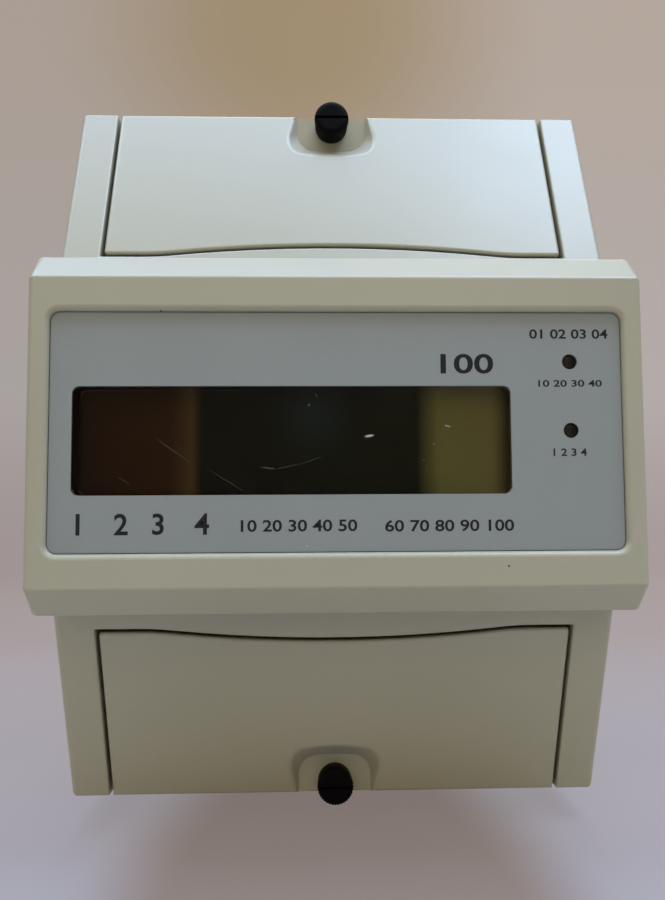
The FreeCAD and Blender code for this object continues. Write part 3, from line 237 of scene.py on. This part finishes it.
AIR_BELOW, AIR_ABOVE = (0.32, 0.30, 0.28, 1), (0.28, 0.19, 0.05, 1)
DARK_WAY = (0.0, -1.0, -0.05)
DARK_OUTER, DARK_INNER = 0.72, 0.88  # cosines of the angle from the dark way
DARK_STRENGTH = 0.06
world = bpy.data.worlds.new("room")
world.use_nodes = True
scene.world = world
tree = world.node_tree
tree.nodes.clear()
way = put(tree, "TexCoord").outputs["Generated"]
upward = put(tree, "SeparateXYZ", {"Vector": way}).outputs["Z"]
air = shade_between(tree, ranged(tree, upward, -0.3, 0.6, smooth=True), AIR_BELOW, AIR_ABOVE)
facing = put(
    tree, "VectorMath", {0: way, 1: DARK_WAY}, operation="DOT_PRODUCT").outputs["Value"]
strength = ranged(tree, facing, DARK_OUTER, DARK_INNER, 1, DARK_STRENGTH, smooth=True)
room = put(tree, "Background", {"Color": air, "Strength": strength})
far_wall = put(tree, "Background", {"Color": sheet_colour(176, 166, 160), "Strength": 1.0})
put(tree, "OutputWorld", {
    "Surface": layered(
        tree, put(tree, "LightPath").outputs["Is Camera Ray"], room.outputs["Background"],
        far_wall.outputs["Background"])})


# The case: two halves of grey-beige moulded plastic, semi-gloss, with a faint orange peel
# from the mould. The front half carries the bezel, the rear half clips over the rail.
def grain(tree, place, size, detail=2.0):
    """Noise whose lumps are about one size across, in metres."""
    return put(
        tree, "TexNoise", {"Vector": place, "Scale": 1 / size, "Detail": detail}).outputs["Fac"]


def bumped(tree, height, depth):
    """A bump that stands up to a depth in metres."""
    return put(
        tree, "Bump", {"Height": height, "Strength": 1.0, "Distance": depth}).outputs["Normal"]


def finish_surface(tree, inputs):
    """Ends a material with one surface, by its sockets."""
    surface = put(tree, "BsdfPrincipled", inputs)
    put(tree, "OutputMaterial", {"Surface": surface.outputs["BSDF"]})


def moulded(name, colour, gloss, peel_depth):
    """Moulded plastic: a slow drift of tone, an uneven gloss and a fine orange peel."""
    material, tree, place = new_finish(name)
    red, green, blue, _ = sheet_colour(*colour)
    drift = grain(tree, place, 25 * MM, 1.0)
    tone = shade_between(
        tree, drift, (red * 0.96, green * 0.96, blue * 0.95, 1),
        (red * 1.04, green * 1.04, blue * 1.05, 1))
    polish = ranged(tree, grain(tree, place, 9 * MM, 1.0), 0, 1, gloss - 0.03, gloss + 0.05)
    peel = bumped(tree, grain(tree, place, 0.3 * MM, 1.0), peel_depth)
    finish_surface(
        tree, {"Base Color": tone, "Roughness": polish, "IOR": 1.50, "Normal": peel})
    return material


def dress(name, material):
    """Gives a shown piece of the frame its finish."""
    piece = nodes[name]
    for place in piece.material_slots:
        place.material = material
    return piece


def soften(piece, width):
    """Breaks the sharp edges of a moulded or machined piece and keeps its flat faces flat."""
    weld = piece.modifiers.new("join", "WELD")
    weld.merge_threshold = 1e-6
    whole = piece.modifiers.new("whole_faces", "DECIMATE")
    whole.decimate_type = "DISSOLVE"
    whole.angle_limit = math.radians(0.5)
    bevel = piece.modifiers.new("soft_edges", "BEVEL")
    bevel.width = width
    bevel.segments = 2
    bevel.limit_method = "ANGLE"
    bevel.angle_limit = math.radians(30)
    bevel.use_clamp_overlap = False
    flat = piece.modifiers.new("flat_faces", "WEIGHTED_NORMAL")
    flat.keep_sharp = True


CASE_COLOUR = (169, 165, 145)
CASE_GLOSS = 0.32
CASE_PEEL = 0.006 * MM
CASE_EDGE = 0.2 * MM
case_plastic = moulded("case_plastic", CASE_COLOUR, CASE_GLOSS, CASE_PEEL)
for name in ("front_housing", "rear_base"):
    soften(dress(name, case_plastic), CASE_EDGE)


# The terminal covers: thin snap-in plates of the same plastic. The edge along the bezel is
# rolled over, and a drafted notch with a soft mouth lies at the outer end for the seal screw.
# Behind, each keeps its skirt, its ribs and the screw's hole.
def new_piece(name, form):
    """Makes an object of a worked form."""
    bmesh.ops.recalc_face_normals(form, faces=form.faces)
    data = bpy.data.meshes.new(name)
    form.to_mesh(data)
    form.free()
    piece = bpy.data.objects.new(name, data)
    scene.collection.objects.link(piece)
    return piece


def open_form(data):
    """A plate's mesh opened for work, with its doubled corners joined."""
    form = bmesh.new()
    form.from_mesh(data)
    bmesh.ops.remove_doubles(form, verts=form.verts, dist=1e-6)
    return form


def carve(piece, tool):
    """Takes a tool's shape out of a piece for good."""
    cutter = piece.modifiers.new("carve", "BOOLEAN")
    cutter.operation = "DIFFERENCE"
    cutter.solver = "EXACT"
    cutter.object = tool
    bpy.context.view_layer.update()
    graph = bpy.context.evaluated_depsgraph_get()
    data = bpy.data.meshes.new_from_object(piece.evaluated_get(graph))
    piece.modifiers.clear()
    piece.data = data
    bpy.data.objects.remove(tool)


def is_turned(edge, degrees):
    """True where two faces meet at an edge and turn by at least an angle."""
    return len(edge.link_faces) == 2 and edge.calc_face_angle(0) >= math.radians(degrees)


def smooth_by_angle(piece, degrees):
    """Smooth shading, but for edges sharper than an angle; flat faces stay flat."""
    form = bmesh.new()
    form.from_mesh(piece.data)
    for face in form.faces:
        face.smooth = True
    for edge in form.edges:
        edge.smooth = len(edge.link_faces) == 2 and not is_turned(edge, degrees)
    form.to_mesh(piece.data)
    form.free()
    flat = piece.modifiers.new("flat_faces", "WEIGHTED_NORMAL")
    flat.keep_sharp = True


NOTCH_HALF = 5.26 * MM
NOTCH_START = 45.5 * MM
NOTCH_OPEN_END = 60 * MM
NOTCH_BOW = 45 * MM
NOTCH_CORNER = 2.8 * MM
NOTCH_FLOOR = -36.3 * MM
NOTCH_RISE = 9.0 * MM
NOTCH_DRAFT = math.tan(math.radians(31))
CORNER_STEPS, BOW_STEPS = 8, 6


def notch_outline(side, widening):
    """The notch seen from in front: straight sides, round corners and a bowed inner end."""
    half = NOTCH_HALF + widening
    corner = NOTCH_CORNER + 0.1 * widening
    bow_middle = NOTCH_START - widening + NOTCH_BOW
    end_turn = math.asin((half - corner) / (NOTCH_BOW - corner))
    corner_x = half - corner
    corner_z = bow_middle - (NOTCH_BOW - corner) * math.cos(end_turn)
    half_line = [(-half, NOTCH_OPEN_END)]
    for step in range(CORNER_STEPS + 1):
        turn = math.pi + (math.pi / 2 - end_turn) * step / CORNER_STEPS
        half_line.append((
            -corner_x + corner * math.cos(turn), corner_z + corner * math.sin(turn)))
    bow = []
    for step in range(1, 2 * BOW_STEPS):
        turn = end_turn * (step / BOW_STEPS - 1)
        bow.append((NOTCH_BOW * math.sin(turn), bow_middle - NOTCH_BOW * math.cos(turn)))
    line = half_line + bow + [(-x, z) for x, z in reversed(half_line)]
    return [(x, side * z) for x, z in line]


def notch_tool(side):
    """The solid that leaves the notch: its outline drawn out forwards and wider by the draft."""
    form = bmesh.new()
    rings = [
        [form.verts.new((x, NOTCH_FLOOR - rise, z))
         for x, z in notch_outline(side, rise * NOTCH_DRAFT)]
        for rise in (0, NOTCH_RISE)]
    count = len(rings[0])
    for step in range(count):
        following = (step + 1) % count
        form.faces.new((
            rings[0][step], rings[0][following], rings[1][following], rings[1][step]))
    for ring in rings:
        form.faces.new(ring)
    return new_piece("notch_tool", form)


def roll_edges(form, chosen, radius):
    """Rounds the chosen edges of a form over."""
    bmesh.ops.bevel(
        form, geom=chosen, offset=radius, offset_type="OFFSET", segments=4, profile=0.5,
        affect="EDGES", clamp_overlap=False)


cover_plastic = moulded("cover_plastic", CASE_COLOUR, CASE_GLOSS, CASE_PEEL)
SEAM_ROLL = 0.55 * MM
SEAM_DEPTH = 0.62 * MM  # the seam's edge drops from the sloping face by less than this
MOUTH_ROLL = 0.45 * MM
MOUTH_DEPTH = 0.005 * MM
MOUTH_HALF = 12 * MM
MOUTH_START = 35 * MM  # the notch's mouth lies farther out than this and the seam nearer
EDGE_TURN = 25
FORWARD, INWARD = -0.3, -0.7  # the most that the normals of such faces may read
for end, side in (("upper", 1), ("lower", -1)):
    cover = new_piece(end + "_cover_plate", open_form(nodes[end + "_cover"].data))
    carve(cover, notch_tool(side))
    form = open_form(cover.data)
    bmesh.ops.dissolve_limit(
        form, angle_limit=math.radians(0.5), verts=form.verts, edges=form.edges)
    slope = max(form.faces, key=lambda face: face.calc_area() * (face.normal.y < FORWARD))
    out, corner = slope.normal.copy(), slope.verts[0].co.copy()
    seam, mouth = [], []
    for edge in form.edges:
        if not is_turned(edge, EDGE_TURN):
            continue
        depth = max(abs((vertex.co - corner).dot(out)) for vertex in edge.verts)
        inward = [face for face in edge.link_faces if face.normal.z * side < INWARD]
        middle = (edge.verts[0].co + edge.verts[1].co) / 2
        outward = middle.z * side
        if depth < SEAM_DEPTH and len(inward) == 1 and outward < MOUTH_START:
            seam.append(edge)
        elif depth < MOUTH_DEPTH and abs(middle.x) < MOUTH_HALF and outward > MOUTH_START:
            mouth.append(edge)
    roll_edges(form, seam, SEAM_ROLL)
    roll_edges(form, [edge for edge in mouth if edge.is_valid], MOUTH_ROLL)
    form.to_mesh(cover.data)
    form.free()
    cover.data.materials.clear()
    cover.data.materials.append(cover_plastic)
    smooth_by_angle(cover, 35)
    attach(cover, end + "_cover")
    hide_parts(end + "_cover")


# The seal screws: blackened metal with a knurled, tapered head, a driver slot across its top
# and a cross hole for the sealing wire. The shank passes through the cover into the case.
black_metal, tree, place = new_finish("black_metal")
wear = grain(tree, place, 0.8 * MM, 3.0)
finish_surface(tree, {
    "Base Color": shade_between(tree, wear, sheet_colour(3, 2, 4), sheet_colour(10, 9, 11)),
    "Roughness": ranged(tree, wear, 0.2, 0.8, 0.5, 0.7), "IOR": 1.4, "Specular IOR Level": 0.1,
    "Normal": bumped(tree, grain(tree, place, 0.15 * MM, 1.0), 0.015 * MM)})


def lathe(name, profile, segments, ripple=0.0, ridges=0):
    """A solid turned about Y from (radius, y, share of the ripple) points."""
    form = bmesh.new()
    rings = []
    for radius, y, rippled in profile:
        ring = []
        for step in range(segments):
            turn = 2 * math.pi * step / segments
            far = radius + ripple * rippled * math.cos(ridges * turn)
            ring.append(form.verts.new((far * math.cos(turn), y, far * math.sin(turn))))
        rings.append(ring)
    for low, high in zip(rings, rings[1:]):
        for step in range(segments):
            following = (step + 1) % segments
            form.faces.new((low[step], low[following], high[following], high[step]))
    form.faces.new(rings[0])
    form.faces.new(rings[-1])
    return new_piece(name, form)


def slot_tool(low, high):
    """The plain block between two corners that leaves the driver slot."""
    form = bmesh.new()
    bmesh.ops.create_cube(form, size=1)
    size = Vector(high) - Vector(low)
    middle = (Vector(high) + Vector(low)) / 2
    form.transform(Matrix.Translation(middle) @ Matrix.Diagonal((*size, 1)))
    return new_piece("slot_tool", form)


HEAD_LENGTH = 4.25 * MM
HEAD_SWELL = 0.12 * MM  # the knurled rim's radius over that of the frame's plain head
SHANK_RADIUS = 1.5 * MM
KNURL_RIDGES = 36
KNURL_HEIGHT = 0.045 * MM
SLOT_DEPTH = 0.6 * MM
SLOT_HALF = 0.2 * MM
WIRE_RADIUS = 0.6 * MM
WIRE_SET_BACK = 0.3 * MM
CUT_REACH = 3 * MM
for end in ("upper", "lower"):
    low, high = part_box(end + "_seal_screw")
    axis = Vector(((low.x + high.x) / 2, 0, (low.z + high.z) / 2))
    rim = (high.x - low.x) / 2 + HEAD_SWELL
    front = low.y
    foot = front + HEAD_LENGTH
    profile = [
        (rim - 0.85 * MM, front, 0),
        (rim - 0.50 * MM, front + 0.05 * MM, 0.4),
        (rim - 0.18 * MM, front + 0.25 * MM, 1),
        (rim - KNURL_HEIGHT, front + 0.6 * MM, 1),
        (rim - 0.22 * MM, foot - 0.35 * MM, 1),
        (rim - 0.40 * MM, foot - 0.05 * MM, 0),
        (rim - 0.52 * MM, foot, 0),
        (SHANK_RADIUS, foot, 0),
        (SHANK_RADIUS, high.y - 0.4 * MM, 0),
        (SHANK_RADIUS - 0.4 * MM, high.y, 0),
    ]
    screw = lathe(end + "_seal_knob", profile, KNURL_RIDGES * 6, KNURL_HEIGHT, KNURL_RIDGES)
    carve(screw, slot_tool(
        (-CUT_REACH, front - MM, -SLOT_HALF), (CUT_REACH, front + SLOT_DEPTH, SLOT_HALF)))
    wire_hole = lathe(
        "wire_hole", [(WIRE_RADIUS, -CUT_REACH, 0), (WIRE_RADIUS, CUT_REACH, 0)], 24)
    hole_place = Matrix.Translation((0, (front + foot) / 2 + WIRE_SET_BACK, 0))
    wire_hole.data.transform(hole_place @ Matrix.Rotation(math.pi / 2, 4, "Z"))
    carve(screw, wire_hole)
    screw.data.transform(Matrix.Translation(axis))
    screw.data.materials.clear()
    screw.data.materials.append(black_metal)
    smooth_by_angle(screw, 32)
    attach(screw, end + "_seal")
    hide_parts(end + "_seal_screw")


# The front plate: grey printed film on a thin sheet, set a little below the bezel. It is
# matt and clean, open at the display and at the two lamps.
film, tree, place = new_finish("grey_film")
finish_surface(tree, {
    "Base Color": shade_between(
        tree, grain(tree, place, 14 * MM), sheet_colour(137, 142, 142),
        sheet_colour(143, 148, 147)),
    "Roughness": 0.42, "IOR": 1.46,
    "Normal": bumped(tree, grain(tree, place, 0.25 * MM), 0.003 * MM)})
dress("label_plate", film)


# The print on the plate: plain numbers only, in a thin layer of black ink with a blue cast.
# The strokes are a little bolder than the letters' own.
ink, tree, place = new_finish("black_ink")
finish_surface(tree, {
    "Base Color": shade_between(
        tree, grain(tree, place, 0.4 * MM), sheet_colour(10, 11, 17), sheet_colour(22, 24, 32)),
    "Roughness": 0.6, "IOR": 1.4})
plate_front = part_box("label_plate")[0].y
INK_DEPTH = 0.004
INK_WEIGHT = 0.018
PRINTS = [
    # words, left end, foot line and height, and the width or None to keep the letters' own
    ("100", 12.7, 7.1, 2.5, 6.6),
    ("01 02 03 04", 23.9, 11.5, 1.2, 9.9),
    ("10 20 30 40", 24.9, 5.45, 0.85, 8.0),
    ("1 2 3 4", 26.6, -3.2, 0.95, 4.2),
    ("10 20 30 40 50", -12.0, -12.3, 1.45, 14.2),
    ("60 70 80 90 100", 5.6, -12.4, 1.45, 15.9),
    ("1", -31.9, -12.6, 2.6, None),
    ("2", -27.3, -12.6, 2.6, None),
    ("3", -22.7, -12.6, 2.6, None),
    ("4", -17.6, -12.6, 2.6, None),
]
form = bmesh.new()
for words, left, foot, height, width in PRINTS:
    letters = bpy.data.curves.new("numbers", "FONT")
    letters.body = words
    letters.extrude = INK_DEPTH
    letters.offset = INK_WEIGHT
    letters.resolution_u = 4
    text = bpy.data.objects.new("numbers", letters)
    scene.collection.objects.link(text)
    bpy.context.view_layer.update()
    mesh = bpy.data.meshes.new_from_object(
        text.evaluated_get(bpy.context.evaluated_depsgraph_get()))
    bpy.data.objects.remove(text)
    xs = [vertex.co.x for vertex in mesh.vertices]
    ys = [vertex.co.y for vertex in mesh.vertices]
    tall = height * MM / (max(ys) - min(ys))
    wide = width * MM / (max(xs) - min(xs)) if width else tall
    for vertex in mesh.vertices:
        across, along, out = vertex.co
        vertex.co = (
            left * MM + (across - min(xs)) * wide,
            plate_front - (INK_DEPTH + out) * MM,
            foot * MM + (along - min(ys)) * tall)
    form.from_mesh(mesh)
plate_print = new_piece("plate_print", form)
plate_print.data.materials.append(ink)
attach(plate_print, "housing")


# The display window: a clear polished pane that fills the plate's opening, on a flange behind
# the plate. Handling has left fine scratches and dust on it, and dark specks on the bezel.
pane, tree, place = new_finish("window_pane")
finish_surface(tree, {
    "Base Color": (1, 1, 1, 1), "IOR": 1.49, "Transmission Weight": 1.0,
    "Roughness": ranged(tree, grain(tree, place, 8 * MM), 0.2, 0.8, 0.03, 0.06)})
dress("display_window", pane)

worn, tree, place = new_finish("worn_marks")
scuffed = put(
    tree, "BsdfPrincipled",
    {"Base Color": shade_between(
        tree, grain(tree, place, 1.5 * MM), sheet_colour(70, 64, 52), sheet_colour(100, 94, 80)),
     "Roughness": 0.6, "IOR": 1.4})
bare = put(tree, "BsdfTransparent")
veil = ranged(tree, grain(tree, place, 2.5 * MM), 0.2, 0.8, 0.25, 0.75)
put(tree, "OutputMaterial", {
    "Surface": layered(tree, veil, bare.outputs["BSDF"], scuffed.outputs["BSDF"])})
dust, tree, place = new_finish("dust")
finish_surface(tree, {
    "Base Color": shade_between(
        tree, grain(tree, place, 0.3 * MM), sheet_colour(150, 150, 144),
        sheet_colour(215, 215, 208)),
    "Roughness": 0.7, "IOR": 1.4})
pane_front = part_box("display_window")[0].y
bezel_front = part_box("front_housing")[0].y
MARK_FOOT, MARK_TOP = 0.001, 0.006
SCRATCHES, DUST, SPECKS = 0, 1, 2
MARKS = [
    # kind, surface, one end, other end, width: x and z of the front view, in millimetres
    (SCRATCHES, pane_front, (-22.6, -0.67), (-17.96, -4.0), 0.09),
    (SCRATCHES, pane_front, (-16.25, -4.49), (-11.13, -7.69), 0.08),
    (SCRATCHES, pane_front, (-26.9, -5.54), (-25.2, -6.64), 0.08),
    (SCRATCHES, pane_front, (-9.67, -4.4), (-7.72, -4.65), 0.2),
    (SCRATCHES, pane_front, (-7.72, -4.65), (-4.6, -4.0), 0.09),
    (SCRATCHES, pane_front, (-4.6, -4.0), (-1.9, -3.1), 0.07),
    (SCRATCHES, pane_front, (-2.9, 4.72), (-2.53, 4.1), 0.13),
    (SCRATCHES, pane_front, (10.35, -3.55), (10.65, -3.7), 0.25),
    (DUST, pane_front, (3.15, -0.7), (4.4, -0.52), 0.28),
    (DUST, pane_front, (13.04, 0.71), (13.91, 0.46), 0.12),
    (DUST, pane_front, (11.7, -1.55), (11.85, -1.75), 0.12),
    (DUST, pane_front, (-3.72, 3.18), (-3.58, 3.28), 0.16),
    (DUST, plate_front, (-4.0, -14.05), (-3.84, -14.05), 0.16),
    (SPECKS, bezel_front, (20.43, -16.61), (20.69, -16.61), 0.24),
    (SPECKS, bezel_front, (-21.84, 14.73), (-21.6, 14.73), 0.2),
]
form = bmesh.new()
for kind, level, (x0, z0), (x1, z1), width in MARKS:
    start, stop = Vector((x0, 0, z0)) * MM, Vector((x1, 0, z1)) * MM
    wide = (stop - start).normalized().cross(Vector((0, 1, 0))) * width * MM / 2
    outline = [
        start, start.lerp(stop, 0.3) + wide, start.lerp(stop, 0.7) + wide, stop,
        start.lerp(stop, 0.7) - wide, start.lerp(stop, 0.3) - wide]
    lower, upper = [
        [form.verts.new(point + Vector((0, level - lift * MM, 0))) for point in outline]
        for lift in (MARK_FOOT, MARK_TOP)]
    sides = [
        (lower[step - 1], lower[step], upper[step], upper[step - 1])
        for step in range(len(outline))]
    for corners in [lower, upper] + sides:
        form.faces.new(corners).material_index = kind
marks = new_piece("front_marks", form)
for material in (worn, dust, ink):
    marks.data.materials.append(material)
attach(marks, "housing")


# The display: a switched-off liquid crystal cell behind the pane, brown on the left and olive
# on the right. Its near black middle, with a faint cold grey, is a painted reflection of the
# camera held in front.
CELL_LEFT, CELL_RIGHT = -34 * MM, 22 * MM
REFLECTION_MIDDLE = (-3.2 * MM, -57.4 * MM, 2.4 * MM)
REFLECTION_REACH = 7 * MM
REFLECTION_SHARE = 0.8
cell, tree, place = new_finish("display_cell")
across = put(tree, "SeparateXYZ", {"Vector": place}).outputs["X"]
cell_tones_and_reflection = put(tree, "ValToRGB", {"Fac": ranged(tree, across, CELL_LEFT, CELL_RIGHT)})
ramp = cell_tones_and_reflection.color_ramp
ramp.elements[0].color = sheet_colour(18, 18, 13)
ramp.elements[1].color = sheet_colour(58, 50, 30)
# The dark middle of the ramp is a painted reflection of the camera.
for position, colour in (
        (0.05, (52, 30, 13)), (0.23, (60, 36, 14)),  # the brown end
        (0.28, (88, 66, 33)), (0.302, (30, 28, 14)),  # a pale band, then the dark middle
        (0.785, (32, 34, 18)), (0.835, (125, 120, 66)), (0.955, (130, 119, 70))):  # the olive end
    stop = ramp.elements.new(position)
    stop.color = sheet_colour(*colour)
# Painted reflection: a faint cold grey round a point in the middle of the cell.
painted_reflection = ranged(
    tree, distance(tree, place, REFLECTION_MIDDLE), 0, REFLECTION_REACH, REFLECTION_SHARE, 0, smooth=True)
finish_surface(tree, {
    "Base Color": shade_between(tree, painted_reflection, cell_tones_and_reflection.outputs["Color"], sheet_colour(44, 54, 53)),
    "Roughness": 0.35, "IOR": 1.3, "Specular IOR Level": 0.2})
dress("display_glass", cell)


# The lamps: two unlit lamps of smoky plastic. Each has a round body behind the plate and a
# narrow domed pip that fills the hole in the plate. Each pip is painted lighter brown towards
# a point low on its left, a painted light in the dome.
PIP_RADIUS = 0.93 * MM
LENS_TOP = plate_front + 0.12 * MM
PAINTED_LIGHT_ASIDE, PAINTED_LIGHT_BELOW = 0.35 * MM, 0.45 * MM
PAINTED_LIGHT_INNER, PAINTED_LIGHT_OUTER = 0.1 * MM, 0.7 * MM
lens, tree, place = new_finish("smoky_lens")
painted_lights = []
for name in ("pulse_led", "reverse_led"):
    low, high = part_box(name)
    middle = ((low.x + high.x) / 2, 0, (low.z + high.z) / 2)
    body_radius = (high.x - low.x) / 2
    profile = [
        (0.25 * PIP_RADIUS, LENS_TOP, 0), (0.6 * PIP_RADIUS, LENS_TOP + 0.03 * MM, 0),
        (0.9 * PIP_RADIUS, LENS_TOP + 0.1 * MM, 0), (PIP_RADIUS, LENS_TOP + 0.22 * MM, 0),
        (PIP_RADIUS, low.y - 0.1 * MM, 0), (PIP_RADIUS + 0.12 * MM, low.y, 0),
        (body_radius - 0.15 * MM, low.y, 0), (body_radius, low.y + 0.15 * MM, 0),
        (body_radius, high.y, 0)]
    lamp = lathe(name + "_lens", profile, 36)
    lamp.data.transform(Matrix.Translation(middle))
    lamp.data.materials.append(lens)
    smooth_by_angle(lamp, 40)
    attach(lamp, "housing")
    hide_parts(name)
    # Painted light: a lighter brown spot low on each pip's left.
    painted_light_place = (middle[0] - PAINTED_LIGHT_ASIDE, LENS_TOP, middle[2] - PAINTED_LIGHT_BELOW)
    painted_lights.append(ranged(
        tree, distance(tree, place, painted_light_place), PAINTED_LIGHT_INNER, PAINTED_LIGHT_OUTER, 1, 0))
painted_light = put(tree, "Math", {0: painted_lights[0], 1: painted_lights[1]}, operation="MAXIMUM").outputs["Value"]
finish_surface(tree, {
    "Base Color": shade_between(tree, painted_light, sheet_colour(15, 16, 12), sheet_colour(48, 34, 15)),
    "Roughness": ranged(tree, grain(tree, place, 0.5 * MM), 0, 1, 0.30, 0.36), "IOR": 1.4,
    "Specular IOR Level": 0.3})


# The metal of the terminals: zinc-plated steel cages and screws, copper bars, and a shunt and
# pins of brass, each with the fine lines of its rolling or turning. The case's own screws and
# the crystal's can are plated too.
def metal(name, colour, roughness, stretch):
    """Drawn or turned metal: patches of tone and fine lines along the stretched axis."""
    material, tree, place = new_finish(name)
    drawn = put(tree, "Mapping", {"Vector": place, "Scale": stretch}).outputs["Vector"]
    lines = grain(tree, drawn, 0.25 * MM, 3.0)
    red, green, blue, _ = sheet_colour(*colour)
    tone = shade_between(
        tree, grain(tree, place, 3 * MM, 3.0), (red * 0.8, green * 0.8, blue * 0.8, 1),
        (red, green, blue, 1))
    finish_surface(tree, {
        "Base Color": tone, "Metallic": 1.0,
        "Roughness": ranged(tree, lines, 0.3, 0.7, roughness - 0.08, roughness + 0.08),
        "Normal": bumped(tree, lines, 0.004 * MM)})
    return material


CLAMP_EDGE = 0.12 * MM
CLAMPS = ("line_in", "line_out", "neutral_in", "neutral_out", "pulse_plus", "pulse_minus")
steel = metal("plated_steel", (205, 205, 200), 0.32, (1, 0.15, 1))
copper = metal("bare_copper", (205, 130, 98), 0.35, (1, 1, 0.08))
brass = metal("brass", (210, 185, 120), 0.35, (1, 1, 0.08))
for name in [clamp + part for clamp in CLAMPS for part in ("_cage", "_screw")]:
    soften(dress(name, steel), CLAMP_EDGE)
for name in ("case_screws", "crystal"):
    dress(name, steel)
for name in ("line_in_bar", "line_out_bar", "neutral_bar"):
    dress(name, copper)
for name in ("shunt_element", "sense_pins", "pulse_pins"):
    dress(name, brass)


# The rail latch, of dark glass-filled plastic, slightly dull, and the small plastic parts
# inside: dark chips, header and display frame, a green terminal block, a white light guide,
# a yellow boxed capacitor, a blue dipped varistor and dark rubber contact strips.
LATCH_EDGE = 0.25 * MM
dark_plastic = moulded("dark_plastic", (52, 52, 54), 0.42, 0.015 * MM)
soften(dress("din_latch", dark_plastic), LATCH_EDGE)
for name in (
        "display_frame", "optocoupler", "bulk_capacitor", "metering_chip", "board_header"):
    dress(name, dark_plastic)
green_plastic = moulded("green_plastic", (70, 130, 85), 0.38, 0.010 * MM)
dress("pulse_block", green_plastic)
white_plastic = moulded("white_plastic", (225, 224, 216), 0.35, 0.004 * MM)
dress("display_backlight", white_plastic)
yellow_plastic = moulded("yellow_plastic", (205, 175, 70), 0.30, 0.006 * MM)
dress("supply_capacitor", yellow_plastic)
blue_plastic = moulded("blue_plastic", (45, 85, 150), 0.45, 0.02 * MM)
dress("varistor", blue_plastic)
strip_rubber = moulded("strip_rubber", (60, 60, 62), 0.7, 0.01 * MM)
dress("display_strips", strip_rubber)


# The latch's spring: hard steel wire, closed at both ends. It stands on the base's peg inside
# the latch.
form = bmesh.new()
form.from_mesh(nodes["latch_spring"].data)
form.transform(nodes["latch_spring"].matrix_world)
coil = new_piece("latch_coil", form)
coil.data.materials.append(steel)
smooth_by_angle(coil, 40)
foot = min(vertex.co.z for vertex in coil.data.vertices)
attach(coil, "housing")
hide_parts("latch_spring")
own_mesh(coil)


# The boards: green lacquer over copper tracks, which show as slightly paler lines. Moulded
# hooks hold each board to its own half of the case.
TRACK_SCALE = 90.0
TRACK_WIDTH = 0.03
lacquer, tree, place = new_finish("board_lacquer")
tracks = put(
    tree, "TexBrick",
    {"Vector": place, "Scale": TRACK_SCALE, "Mortar Size": TRACK_WIDTH,
     "Color1": sheet_colour(30, 92, 52), "Color2": sheet_colour(26, 84, 47),
     "Mortar": sheet_colour(52, 122, 70)}).outputs
finish_surface(tree, {
    "Base Color": tracks["Color"], "Roughness": 0.3, "IOR": 1.5,
    "Normal": bumped(tree, tracks["Fac"], 0.02 * MM)})
for name in ("main_board", "display_board"):
    dress(name, lacquer)
